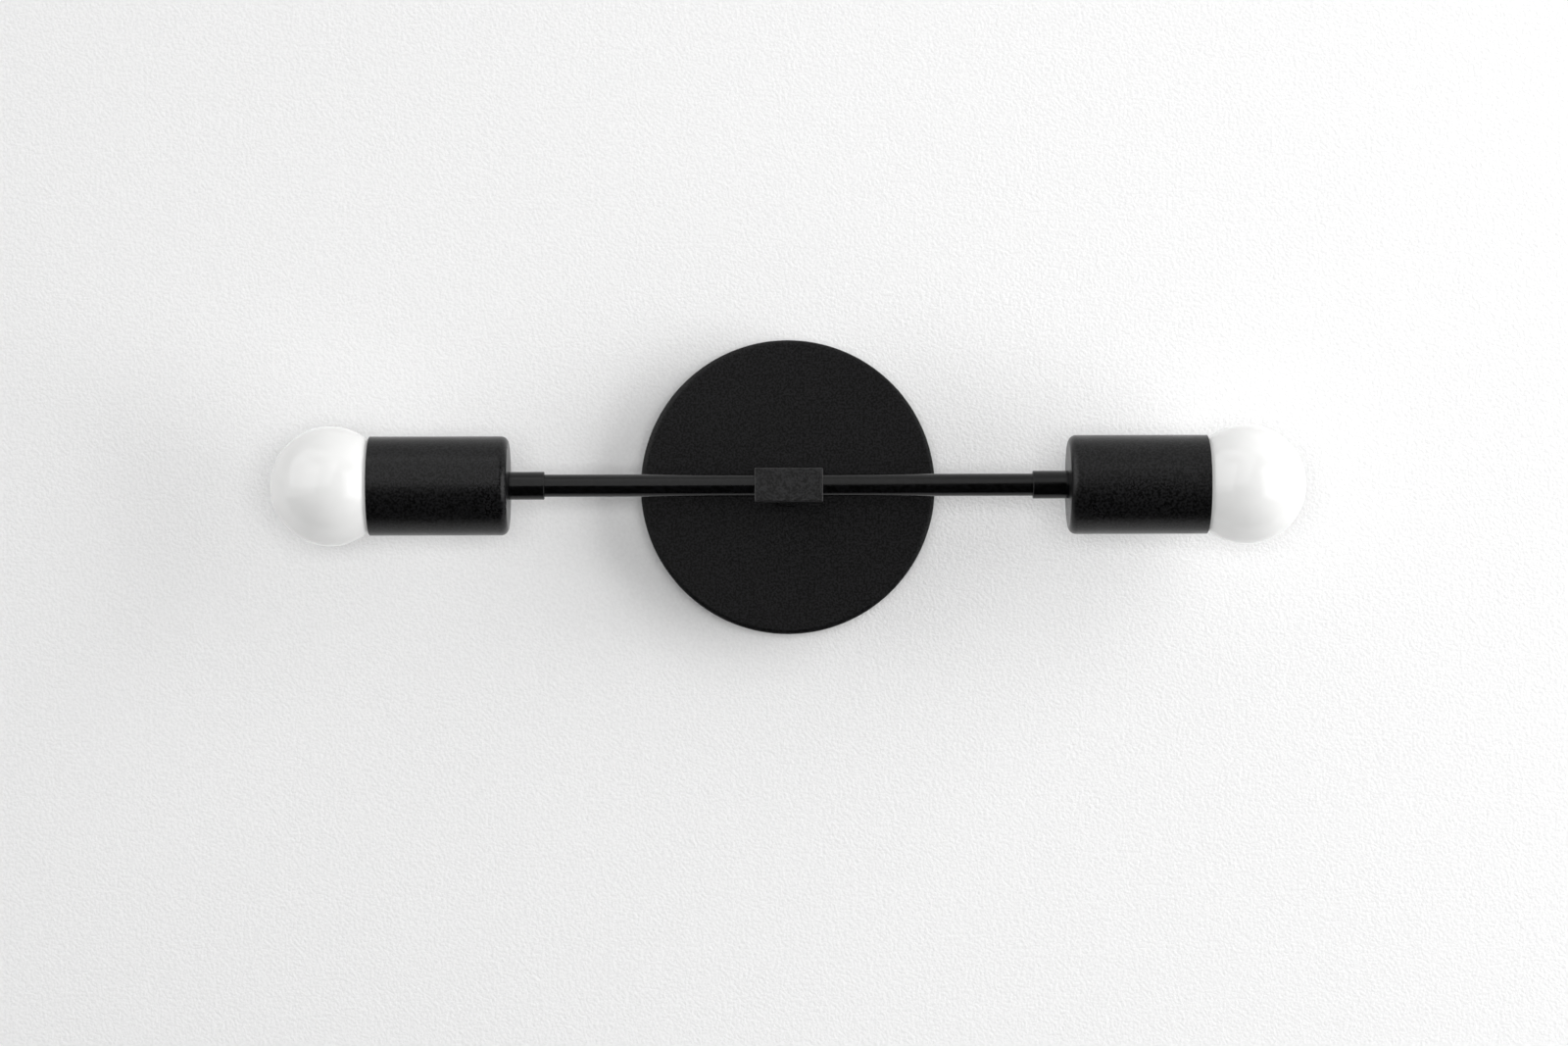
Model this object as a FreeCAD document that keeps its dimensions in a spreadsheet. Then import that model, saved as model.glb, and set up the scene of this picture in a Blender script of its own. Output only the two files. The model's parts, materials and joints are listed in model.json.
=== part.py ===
import FreeCAD, Part
import os
import re
import Sketcher

os.makedirs("parts", exist_ok=True)
doc = FreeCAD.newDocument("vanity_light")

# Two-arm wall light, millimetres. X runs along the arms, Z is up, the front faces -Y.
# The wall is the plane y = 0 and the origin is the centre of the outlet box pattern.

# Sizes that drive the model
sizes = {
    # canopy: the round pan against the wall
    "canopy_diameter": 127.0,
    "canopy_depth": 19.0,
    "canopy_wall": 1.2,
    "canopy_edge_radius": 2.0,
    # crossbar: the strap that is screwed to the outlet box
    "crossbar_width": 17.0,
    "crossbar_thickness": 2.0,
    "crossbar_bend_radius": 1.5,
    "ear_gap": 2.0,
    "ear_past_screw": 4.5,
    "box_slot_spacing": 79.4,
    "box_slot_length": 14.4,
    "box_slot_width": 4.8,
    "earth_screw_offset": 20.0,
    # lamp pipe: the thin threaded tube that clamps the pieces together
    "pipe_diameter": 10.29,
    "pipe_bore": 6.8,
    "pipe_past_nut": 1.5,
    "pipe_seat_in_block": 4.4,
    "nut_across_flats": 14.3,
    "nut_thickness": 3.2,
    "nut_chamfer": 0.9,
    "washer_diameter": 15.8,
    "washer_thickness": 0.8,
    "washer_tooth_depth": 1.6,
    # stem between the canopy and the block
    "arm_standoff": 51.0,
    "check_ring_width": 3.3,
    "check_ring_thickness": 2.5,
    "check_ring_edge": 0.6,
    "stem_wall": 1.0,
    # block that joins the arms
    "block_width": 29.0,
    "block_height": 14.4,
    "block_edge_radius": 0.6,
    # arms and the couplings at their ends
    "arm_diameter": 9.525,
    "arm_wall": 1.0,
    "arm_seat_in_block": 6.5,
    "arm_seat_in_coupling": 6.15,
    "coupling_wall": 0.8,
    "coupling_length": 15.15,
    "coupling_stop": 0.5,
    "coupling_edge": 0.3,
    # cups, with the closed end towards the centre
    "cup_offset": 118.5,
    "cup_wall": 1.2,
    "cup_edge_radius": 3.2,
    "cup_rim_edge": 0.25,
    # strap that carries the socket
    "strap_thickness": 1.2,
    "strap_width": 12.0,
    "strap_span": 29.0,
    "strap_depth": 12.3,
    "strap_foot_length": 7.5,
    "strap_bend_radius": 0.8,
    # porcelain socket
    "socket_wall": 3.4,
    "socket_mouth_wall": 4.2,
    "socket_mouth_depth": 9.0,
    "socket_edge_radius": 1.0,
    "socket_gap": 1.8,
    "socket_well_diameter": 10.0,
    "socket_well_depth": 4.5,
    "socket_floor": 3.0,
    # screw shell in the socket
    "shell_wall": 0.4,
    "shell_recess": 1.0,
    "shell_flange": 4.5,
    "shell_tab_width": 3.0,
    # spring contact on the floor of the socket
    "contact_height": 3.6,
    "contact_sheet": 0.4,
    "contact_width": 5.0,
    "contact_gap": 1.4,
    "contact_tail": 3.0,
    "contact_pad": 4.0,
    "rivet_diameter": 3.0,
    "rivet_head_diameter": 4.4,
    "rivet_head_height": 0.7,
    # bulb: globe with a medium screw cap
    "globe_diameter": 50.8,
    "globe_wall": 1.0,
    "globe_rim_gap": 0.5,
    "neck_showing": 1.8,
    "neck_in_cap": 12.0,
    "neck_gap": 0.28,
    "cap_diameter": 26.05,
    "cap_wall": 0.35,
    "cap_length": 26.6,
    "cap_showing": 3.5,
    "cap_shoulder_start": 5.2,
    "cap_shoulder_length": 2.4,
    "cap_shoulder_step": 2.4,
    "insulator_in_cap": 1.4,
    "tip_diameter": 9.4,
    "tip_height": 1.15,
    "tip_edge_radius": 0.8,
    "exhaust_diameter": 3.0,
    "press_diameter": 7.0,
    "press_length": 14.0,
    "flare_length": 6.0,
    "filament_wire": 0.7,
    "filament_width": 24.0,
    "filament_height": 22.0,
    "filament_foot": 5.0,
    # fasteners
    "side_screw_diameter": 4.0,
    "side_screw_length": 6.5,
    "side_screw_head_diameter": 7.0,
    "side_screw_head_height": 1.8,
    "earth_screw_diameter": 4.83,
    "earth_screw_length": 7.0,
    "earth_screw_head_diameter": 9.6,
    "earth_screw_head_height": 2.6,
    "socket_screw_diameter": 3.0,
    "socket_screw_floor": 1.7,
    "socket_screw_head_diameter": 5.0,
    "socket_screw_head_height": 1.8,
    # insulated leads
    "lead_diameter": 2.0,
    "lead_spacing": 0.5,
    "lead_clearance": 0.2,
    # clearances
    "hole_clearance": 0.2,
    "seat_clearance": 0.05,
    "running_gap": 0.3,
    "cut_overrun": 2.0,
}

# Places and fits that follow from the sizes, each written once and used by several pieces
places = {
    "pipe_hole": "pipe_diameter / 2 + hole_clearance",
    "pipe_thread": "pipe_diameter / 2 + seat_clearance",
    "arm_socket": "arm_diameter / 2 + seat_clearance",
    "arm_bore": "arm_diameter / 2 - arm_wall",
    # from the wall forwards
    "canopy_radius": "canopy_diameter / 2",
    "canopy_bore": "canopy_radius - canopy_wall",
    "canopy_inside": "canopy_depth - canopy_wall",
    "washer_rear": "canopy_inside - washer_thickness",
    "nut_rear": "washer_rear - nut_thickness",
    "stem_pipe_rear": "nut_rear - pipe_past_nut",
    "ring_front": "canopy_depth + check_ring_thickness",
    "block_rear": "arm_standoff - block_height / 2",
    "stem_pipe_front": "block_rear + pipe_seat_in_block",
    "side_screw_depth": "canopy_depth / 2",
    "ear_outside": "canopy_bore - ear_gap",
    "ear_inside": "ear_outside - crossbar_thickness",
    "ear_front": "side_screw_depth + ear_past_screw",
    # from the centre outwards
    "coupling_radius": "max(arm_diameter; pipe_diameter) / 2 + coupling_wall",
    "coupling_inner_end": "cup_offset - coupling_length",
    "arm_end": "coupling_inner_end + arm_seat_in_coupling",
    "cup_pipe_start": "arm_end + coupling_stop",
    "cup_floor": "cup_offset + cup_wall",
    "strap_seat": "cup_floor + strap_thickness",
    "cup_pipe_end": "strap_seat + nut_thickness + pipe_past_nut",
    "strap_top": "cup_floor + strap_depth",
    "well_floor": "strap_top + socket_well_depth",
    "lead_end": "well_floor - rivet_head_height",
    "socket_seat": "well_floor + socket_floor",
    "contact_top": "socket_seat + contact_height",
    "bulb_contact": "contact_top + running_gap",
    "cap_end": "bulb_contact + cap_length",
    "socket_rim": "cap_end - cap_showing",
    "shell_end": "socket_rim - shell_recess",
    # radii about the arm's axis
    "cap_radius": "cap_diameter / 2",
    "shell_bore": "cap_radius + running_gap",
    "shell_radius": "shell_bore + shell_wall",
    "socket_bore": "shell_radius + seat_clearance",
    "socket_radius": "socket_bore + socket_wall",
    "socket_mouth_radius": "socket_bore + socket_mouth_wall",
    "cup_bore": "socket_mouth_radius + socket_gap",
    "cup_radius": "cup_bore + cup_wall",
    "flange_bore": "shell_bore - shell_flange",
    "contact_reach": "flange_bore - contact_gap",
    # bulb
    "globe_radius": "globe_diameter / 2",
    "neck_radius": "cap_radius - cap_wall - neck_gap",
    "neck_start": "cap_end - neck_in_cap",
    "globe_centre": "cap_end + neck_showing + sqrt(globe_radius ^ 2 - neck_radius ^ 2)",
    "cup_rim": "globe_centre - sqrt(globe_radius ^ 2 - (cup_bore - globe_rim_gap) ^ 2)",
    "cap_mouth": "cap_radius - cap_shoulder_step",
    "shoulder_start": "bulb_contact + cap_shoulder_start",
    "shoulder_end": "shoulder_start + cap_shoulder_length",
    "insulator_start": "bulb_contact + tip_height + seat_clearance",
    "insulator_end": "shoulder_start + insulator_in_cap",
    "press_start": "neck_start + flare_length",
    "press_end": "press_start + press_length",
    # socket screws
    "foot_screw_height": "(strap_span - strap_foot_length - strap_thickness - strap_bend_radius) / 2",
    "socket_screw_length": "strap_thickness + socket_well_depth + socket_floor - socket_screw_floor",
    # leads: side by side in the bores, with the widest bend that clears the stem pipe's mouth
    "lead_radius": "lead_diameter / 2",
    "lead_beside": "(lead_diameter + lead_spacing) / 2",
    "lead_room": "min(arm_bore; pipe_bore / 2) - lead_radius - lead_clearance",
    "lead_forward": "sqrt(lead_room ^ 2 - lead_beside ^ 2)",
    "lead_front": "arm_standoff + lead_forward",
    "tab_inside": "lead_beside + lead_radius + lead_clearance",
    "tab_outside": "tab_inside + shell_wall",
    "rivet_offset": "rivet_head_diameter / 2 + lead_clearance",
    "bend_keep": "lead_radius + lead_clearance",
    "mouth_beside": "sqrt(pipe_bore ^ 2 / 4 - lead_beside ^ 2) - lead_beside - bend_keep",
    "mouth_before": "lead_front - stem_pipe_front - bend_keep",
    "lead_bend": "mouth_beside + mouth_before + bend_keep + sqrt(2 * mouth_beside * mouth_before)",
}


def bound(text, sheet_of_sizes="Sizes.", sheet_of_places="Places."):
    # Points each name at its cell in one of the two sheets.
    def cell(match):
        name = match.group(0)
        if name in sizes:
            return sheet_of_sizes + name
        if name in places:
            return sheet_of_places + name
        return name
    return re.sub(r"[a-z]+(?:_[a-z]+)+", cell, text)


size_sheet = doc.addObject("Spreadsheet::Sheet", "Sizes")
for row, (alias, size) in enumerate(sizes.items(), start=1):
    size_sheet.set(f"A{row}", alias)
    size_sheet.set(f"B{row}", str(size))
    size_sheet.setAlias(f"B{row}", alias)
doc.recompute()
place_sheet = doc.addObject("Spreadsheet::Sheet", "Places")
for row, (alias, formula) in enumerate(places.items(), start=1):
    place_sheet.set(f"A{row}", alias)
    place_sheet.set(f"B{row}", "=" + bound(formula, sheet_of_places=""))
    place_sheet.setAlias(f"B{row}", alias)
doc.recompute()


def value(text):
    result = size_sheet.evalExpression(bound(text))
    return float(getattr(result, "Value", result))


def bind(thing, **expressions):
    for name, text in expressions.items():
        thing.setExpression(name, bound(text))
    return thing


def place(thing, **offsets):
    for axis, text in offsets.items():
        thing.setExpression(f".Placement.Base.{axis}", bound(text))
    return thing


def on_arm_axis(thing):
    return place(thing, y="-arm_standoff")


def turn(thing, axis, degrees):
    rotation = FreeCAD.Rotation(FreeCAD.Vector(*(float(name == axis) for name in "XYZ")), degrees)
    thing.Placement = FreeCAD.Placement(FreeCAD.Vector(0, 0, 0), rotation)
    return thing


# Closed outline on one origin plane; every corner is held by two bound dimensions.
def outline(body, plane, corners):
    sketch = body.newObject("Sketcher::SketchObject", "Outline")
    role = [entry for entry in body.Origin.OriginFeatures if entry.Role == plane][0]
    sketch.AttachmentSupport = [(role, "")]
    sketch.MapMode = "FlatFace"
    points = [FreeCAD.Vector(value(across), value(up), 0) for across, up in corners]
    for start, end in zip(points, points[1:] + points[:1]):
        sketch.addGeometry(Part.LineSegment(start, end))
    count = len(points)
    for index in range(count):
        sketch.addConstraint(Sketcher.Constraint("Coincident", index, 2, (index + 1) % count, 1))
    for index, corner in enumerate(corners):
        for kind, axis, text, size in (
            ("DistanceX", -2, corner[0], points[index].x),
            ("DistanceY", -1, corner[1], points[index].y),
        ):
            if text == "0":
                sketch.addConstraint(Sketcher.Constraint("PointOnObject", index, 1, axis))
            else:
                number = sketch.addConstraint(Sketcher.Constraint(kind, -1, 1, index, 1, size))
                sketch.setExpression(f"Constraints[{number}]", bound(text))
    return sketch


# Round piece turned about X from corners given as (distance along X, radius)
def turned(label, corners):
    body = doc.addObject("PartDesign::Body", label)
    body.Label = label
    sketch = outline(body, "XY_Plane", corners)
    revolution = body.newObject("PartDesign::Revolution", "Turned")
    revolution.Profile = sketch
    revolution.ReferenceAxis = (sketch, ["H_Axis"])
    revolution.Angle = 360.0
    body.Tip = revolution
    doc.recompute()
    return body


def tube(label, start, end, outer, inner):
    return turned(label, [(start, inner), (start, outer), (end, outer), (end, inner)])


# Turns a piece made along X so that it runs from the wall to the front
def facing_front(thing):
    return turn(thing, "Z", -90)


# Flat outline made as wide as a size, half to each side of the outline's plane
def extruded(label, plane, corners, width):
    body = doc.addObject("PartDesign::Body", label)
    body.Label = label
    sketch = outline(body, plane, corners)
    pad = body.newObject("PartDesign::Pad", "Width")
    pad.Profile = sketch
    pad.setExpression("Length", bound(width))
    pad.Midplane = True
    body.Tip = pad
    doc.recompute()
    return body


# Rounds or breaks the edges of the last feature that a test picks out
def dress(body, kind, size, chosen):
    base = body.Tip
    names = [f"Edge{index}" for index, edge in enumerate(base.Shape.Edges, start=1) if chosen(edge)]
    feature = body.newObject(f"PartDesign::{kind}", kind)
    feature.Base = (base, names)
    feature.setExpression("Radius" if kind == "Fillet" else "Size", bound(size))
    body.Tip = feature
    doc.recompute()
    return body


def same(first, second):
    return abs(first - second) < 1e-4


# Test for the circles of one radius at one place along X
def circle_at(along, radius):
    def chosen(edge):
        if not isinstance(edge.Curve, Part.Circle):
            return False
        return same(edge.Curve.Center.x, value(along)) and same(edge.Curve.Radius, value(radius))
    return chosen


# Test for straight edges square to an outline, through given corners of it
def corner_edges(axis, *spots):
    others = [number for number in range(3) if "XYZ"[number] != axis]

    def chosen(edge):
        ends = [vertex.Point for vertex in edge.Vertexes]
        if len(ends) != 2 or not all(same(ends[0][n], ends[1][n]) for n in others):
            return False
        return any(all(same(ends[0][n], value(text)) for n, text in zip(others, spot)) for spot in spots)
    return chosen


def cylinder(name, axis, radius, length, **offsets):
    solid = doc.addObject("Part::Cylinder", name)
    if axis == "X":
        turn(solid, "Y", 90)
    if axis == "Y":
        turn(solid, "X", -90)
    bind(solid, Radius=radius, Height=length)
    return place(solid, **offsets)


def box(name, length, width, height, **offsets):
    solid = doc.addObject("Part::Box", name)
    bind(solid, Length=length, Width=width, Height=height)
    return place(solid, **offsets)


def cut(label, base, *tools):
    for number, tool in enumerate(tools, start=1):
        feature = doc.addObject("Part::Cut", label if number == len(tools) else label + "_blank")
        feature.Base = base
        feature.Tool = tool
        base = feature
    base.Label = label
    return base


def joined(kind, label, pieces):
    feature = doc.addObject(kind, label)
    feature.Label = label
    if kind == "Part::Compound":
        feature.Links = list(pieces)
    else:
        feature.Shapes = list(pieces)
    return feature


def fused(label, *pieces):
    feature = joined("Part::MultiFuse", label, pieces)
    feature.Refine = True
    return feature


def group(label, *pieces):
    return joined("Part::Compound", label, pieces)


def mirrored(label, source, across="X"):
    feature = doc.addObject("Part::Mirroring", label)
    feature.Source = source
    feature.Normal = FreeCAD.Vector(*(float(axis == across) for axis in "XYZ"))
    feature.Label = label
    return feature


def negative(text):
    return f"-({text})"


sub_parts = []


def keep(piece):
    sub_parts.append(piece)


# A piece of the right-hand arm is kept with its mirror image on the left.
def keep_pair(name, right):
    right.Label = "right_" + name
    keep(right)
    keep(mirrored("left_" + name, right))


# Canopy: a spun pan with a rounded front edge, one hole for the stem and two for the side screws
def canopy():
    pan = turned("canopy_pan", [
        ("canopy_depth", "pipe_hole"),
        ("canopy_depth", "canopy_radius"),
        ("0", "canopy_radius"),
        ("0", "canopy_bore"),
        ("canopy_inside", "canopy_bore"),
        ("canopy_inside", "pipe_hole"),
    ])
    dress(pan, "Fillet", "canopy_edge_radius", circle_at("canopy_depth", "canopy_radius"))
    dress(pan, "Fillet", "canopy_edge_radius - canopy_wall", circle_at("canopy_inside", "canopy_bore"))
    facing_front(pan)
    side_holes = cylinder("side_holes", "X", "side_screw_diameter / 2 + hole_clearance",
                          "canopy_diameter + 2 * cut_overrun",
                          x="-canopy_radius - cut_overrun", y="-side_screw_depth")
    return cut("canopy", pan, side_holes)


keep(canopy())


# Crossbar: a steel strap with an ear bent forward at each end
def crossbar():
    half = [
        ("ear_outside", "0"),
        ("ear_outside", "-ear_front"),
        ("ear_inside", "-ear_front"),
        ("ear_inside", "-crossbar_thickness"),
    ]
    other_half = [(negative(across), up) for across, up in reversed(half)]
    strap = extruded("crossbar_strap", "XY_Plane", half + other_half, "crossbar_width")
    dress(strap, "Fillet", "crossbar_bend_radius + crossbar_thickness",
          corner_edges("Z", half[0], other_half[-1]))
    dress(strap, "Fillet", "crossbar_bend_radius", corner_edges("Z", half[-1], other_half[0]))
    through = "crossbar_thickness + 2 * cut_overrun"
    front = "-crossbar_thickness - cut_overrun"
    tools = [
        cylinder("centre_hole", "Y", "pipe_thread", through, y=front),
        cylinder("earth_hole", "Y", "earth_screw_diameter / 2 + seat_clearance", through,
                 x="earth_screw_offset", y=front),
        cylinder("ear_holes", "X", "side_screw_diameter / 2 + seat_clearance",
                 "2 * (ear_outside + cut_overrun)", x="-ear_outside - cut_overrun",
                 y="-side_screw_depth"),
    ]
    reach = "(box_slot_length - box_slot_width) / 2"
    for middle in ("box_slot_spacing / 2", "-box_slot_spacing / 2"):
        straight = box("slot_middle", "box_slot_length - box_slot_width", through, "box_slot_width",
                       x=f"{middle} - {reach}", y=front, z="-box_slot_width / 2")
        rounds = [cylinder("slot_end", "Y", "box_slot_width / 2", through, x=f"{middle} {sign} {reach}", y=front)
                  for sign in "-+"]
        tools.append(fused("slot", straight, *rounds))
    return cut("crossbar", strap, *tools)


keep(crossbar())


# Screw along X: a plain shank that points inwards and a low round head
def screw(name, seat, length, **offsets):
    shank = cylinder(name + "_shank", "X", f"{name}_diameter / 2", length,
                     x=f"{seat} - ({length})", **offsets)
    head = turned(name + "_head", [
        (seat, "0"),
        (seat, f"{name}_head_diameter / 2"),
        (f"{seat} + {name}_head_height / 2", f"{name}_head_diameter / 2"),
        (f"{seat} + {name}_head_height", f"{name}_head_diameter / 3"),
        (f"{seat} + {name}_head_height", "0"),
    ])
    place(head, **offsets)
    return fused(name, shank, head)


side_screw = screw("side_screw", "canopy_radius", "side_screw_length", y="-side_screw_depth")
keep(group("side_screws", side_screw, mirrored("far_side_screw", side_screw)))

# Earth screw: started in its tapped hole and left proud for the earth wire
earth_screw = facing_front(screw("earth_screw", "earth_screw_length + running_gap", "earth_screw_length"))
keep(place(earth_screw, x="earth_screw_offset"))

# Stem: a pipe inside a check ring and a sleeve, clamped to the canopy by a washer and a nut
keep(facing_front(tube("stem_pipe", "stem_pipe_rear", "stem_pipe_front", "pipe_diameter / 2", "pipe_bore / 2")))
check_ring = tube("check_ring", "canopy_depth", "ring_front", "pipe_hole + check_ring_width", "pipe_hole")
dress(check_ring, "Fillet", "check_ring_edge", circle_at("ring_front", "pipe_hole + check_ring_width"))
keep(facing_front(check_ring))
keep(facing_front(tube("stem_sleeve", "ring_front", "block_rear", "pipe_hole + stem_wall", "pipe_hole")))


# Lock washer: a thin ring with teeth cut round its rim
def lock_washer():
    ring = tube("washer_ring", "washer_rear", "canopy_inside", "washer_diameter / 2", "pipe_hole")
    notch = ring.newObject("Sketcher::SketchObject", "Notch")
    role = [entry for entry in ring.Origin.OriginFeatures if entry.Role == "YZ_Plane"][0]
    notch.AttachmentSupport = [(role, "")]
    notch.MapMode = "FlatFace"
    centre = FreeCAD.Vector(value("washer_diameter / 2"), 0, 0)
    notch.addGeometry(Part.Circle(centre, FreeCAD.Vector(0, 0, 1), value("washer_tooth_depth / 2")))
    notch.addConstraint(Sketcher.Constraint("PointOnObject", 0, 3, -1))
    notch.addConstraint(Sketcher.Constraint("DistanceX", -1, 1, 0, 3, centre.x))
    notch.setExpression("Constraints[1]", bound("washer_diameter / 2"))
    notch.addConstraint(Sketcher.Constraint("Radius", 0, value("washer_tooth_depth / 2")))
    notch.setExpression("Constraints[2]", bound("washer_tooth_depth / 2"))
    pocket = ring.newObject("PartDesign::Pocket", "Gap")
    pocket.Profile = notch
    pocket.Type = "ThroughAll"
    pocket.Midplane = True
    pattern = ring.newObject("PartDesign::PolarPattern", "Teeth")
    pattern.Originals = [pocket]
    pattern.Axis = ([entry for entry in ring.Origin.OriginFeatures if entry.Role == "X_Axis"][0], [""])
    pattern.Angle = 360.0
    pattern.Occurrences = 12
    ring.Tip = pattern
    doc.recompute()
    ring.Label = "lock_washer"
    return facing_front(ring)


keep(lock_washer())


# Nut for the lamp pipe: a hexagon with its outer corners turned off, its first face at one place on X
def pipe_nut(name, start):
    hexagon = turn(doc.addObject("Part::Prism", name + "_hexagon"), "Y", 90)
    hexagon.Polygon = 6
    bind(hexagon, Circumradius="nut_across_flats / sqrt(3)", Height="nut_thickness")
    place(hexagon, x=start)
    blank = turned(name + "_turned", [
        (start, "pipe_thread"),
        (start, "nut_across_flats / 2"),
        (f"{start} + nut_chamfer", "nut_across_flats / 2 + nut_chamfer * 2"),
        (f"{start} + nut_thickness", "nut_across_flats / 2 + nut_chamfer * 2"),
        (f"{start} + nut_thickness", "pipe_thread"),
    ])
    nut = doc.addObject("Part::Common", name)
    nut.Base = hexagon
    nut.Tool = blank
    return nut


stem_nut = turn(pipe_nut("stem_nut", "-washer_rear"), "Z", 90)
cup_nut = on_arm_axis(pipe_nut("cup_nut", "strap_seat"))
keep(group("pipe_nuts", stem_nut, cup_nut, mirrored("far_cup_nut", cup_nut)))


# Block: a small bar with softened edges, bored through for the arms and tapped behind for the stem
def arm_block():
    across, deep = "block_width / 2", "block_height / 2"
    bar = extruded("block_bar", "XY_Plane", [
        (across, deep), (across, negative(deep)),
        (negative(across), negative(deep)), (negative(across), deep),
    ], "block_height")
    dress(bar, "Fillet", "block_edge_radius", lambda edge: True)
    on_arm_axis(bar)
    cross_bore = cylinder("cross_bore", "X", "arm_socket", "block_width + 2 * cut_overrun",
                          x="-block_width / 2 - cut_overrun", y="-arm_standoff")
    rear_bore = cylinder("rear_bore", "Y", "pipe_thread", "pipe_seat_in_block + cut_overrun",
                         y="-stem_pipe_front")
    return cut("arm_block", bar, cross_bore, rear_bore)


keep(arm_block())

# Arm: a thin tube from inside the block to inside the coupling
keep_pair("arm", on_arm_axis(tube(
    "arm", "block_width / 2 - arm_seat_in_block", "arm_end", "arm_diameter / 2", "arm_bore")))

# Coupling: a sleeve bored for the arm at one end and tapped for the pipe at the other
coupling = turned("coupling", [
    ("coupling_inner_end", "arm_socket"),
    ("coupling_inner_end", "coupling_radius"),
    ("cup_offset", "coupling_radius"),
    ("cup_offset", "pipe_thread"),
    ("cup_pipe_start", "pipe_thread"),
    ("cup_pipe_start", "arm_bore"),
    ("arm_end", "arm_bore"),
    ("arm_end", "arm_socket"),
])
dress(coupling, "Chamfer", "coupling_edge", circle_at("coupling_inner_end", "coupling_radius"))
keep_pair("coupling", on_arm_axis(coupling))

# Pipe that clamps the cup and the socket's strap to the coupling
keep_pair("cup_pipe", on_arm_axis(tube(
    "cup_pipe", "cup_pipe_start", "cup_pipe_end", "pipe_diameter / 2", "pipe_bore / 2")))

# Cup: a deep drawn can, rounded at its closed end and open round the bulb
cup = turned("cup", [
    ("cup_offset", "pipe_hole"),
    ("cup_offset", "cup_radius"),
    ("cup_rim", "cup_radius"),
    ("cup_rim", "cup_bore"),
    ("cup_floor", "cup_bore"),
    ("cup_floor", "pipe_hole"),
])
dress(cup, "Fillet", "cup_edge_radius", circle_at("cup_offset", "cup_radius"))
dress(cup, "Fillet", "cup_edge_radius - cup_wall", circle_at("cup_floor", "cup_bore"))
dress(cup, "Chamfer", "cup_rim_edge", circle_at("cup_rim", "cup_radius"))
keep_pair("cup", on_arm_axis(cup))


# Strap: a stamped bracket, its base clamped in the cup and its two feet turned in under the socket
def socket_strap():
    outer = "strap_span / 2"
    inner = f"{outer} - strap_thickness"
    foot = f"{outer} - strap_foot_length"
    under_foot = "strap_top - strap_thickness"
    upper = [
        ("cup_floor", outer), ("strap_top", outer), ("strap_top", foot),
        (under_foot, foot), (under_foot, inner), ("strap_seat", inner),
    ]
    lower = [(along, negative(height)) for along, height in reversed(upper)]
    strap = extruded("strap", "XZ_Plane", upper + lower, "strap_width")
    dress(strap, "Fillet", "strap_bend_radius + strap_thickness",
          corner_edges("Y", *upper[:2], *lower[-2:]))
    dress(strap, "Fillet", "strap_bend_radius", corner_edges("Y", *upper[-2:], *lower[:2]))
    through = "strap_thickness + 2 * cut_overrun"
    holes = [cylinder("strap_pipe_hole", "X", "pipe_hole", through, x="cup_floor - cut_overrun")]
    for height in ("foot_screw_height", "-foot_screw_height"):
        holes.append(cylinder("strap_screw_hole", "X", "socket_screw_diameter / 2 + hole_clearance",
                              through, x=f"{under_foot} - cut_overrun", z=height))
    return cut("socket_strap", strap, *holes)


keep_pair("socket_strap", on_arm_axis(socket_strap()))


# Socket: porcelain with a thicker mouth, a deep bore for the shell and a small well behind for the leads.
# Its floor is pierced for the contact's rivet and for the shell's tab.
def socket_body():
    step = "socket_rim - socket_mouth_depth"
    blank = turned("socket_blank", [
        ("strap_top", "socket_well_diameter / 2"),
        ("strap_top", "socket_radius"),
        (step, "socket_radius"),
        (f"{step} + socket_mouth_wall - socket_wall", "socket_mouth_radius"),
        ("socket_rim", "socket_mouth_radius"),
        ("socket_rim", "socket_bore"),
        ("socket_seat", "socket_bore"),
        ("socket_seat", "0"),
        ("well_floor", "0"),
        ("well_floor", "socket_well_diameter / 2"),
    ])
    dress(blank, "Fillet", "socket_edge_radius", circle_at("strap_top", "socket_radius"))
    dress(blank, "Fillet", "socket_edge_radius", circle_at("socket_rim", "socket_mouth_radius"))
    holes = [cylinder("socket_screw_hole", "X", "socket_screw_diameter / 2 + seat_clearance",
                      "socket_screw_length - strap_thickness + cut_overrun + running_gap",
                      x="strap_top - cut_overrun", z=height)
             for height in ("foot_screw_height", "-foot_screw_height")]
    through, rear = "socket_floor + 2 * cut_overrun", "well_floor - cut_overrun"
    holes.append(cylinder("rivet_hole", "X", "rivet_diameter / 2 + seat_clearance", through,
                          x=rear, z="rivet_offset"))
    holes.append(box("tab_slot", through, "shell_tab_width + 2 * seat_clearance",
                     "shell_wall + 2 * seat_clearance", x=rear,
                     y="-shell_tab_width / 2 - seat_clearance", z="-tab_outside - seat_clearance"))
    return cut("socket_body", blank, *holes)


keep_pair("socket_body", on_arm_axis(socket_body()))


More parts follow.
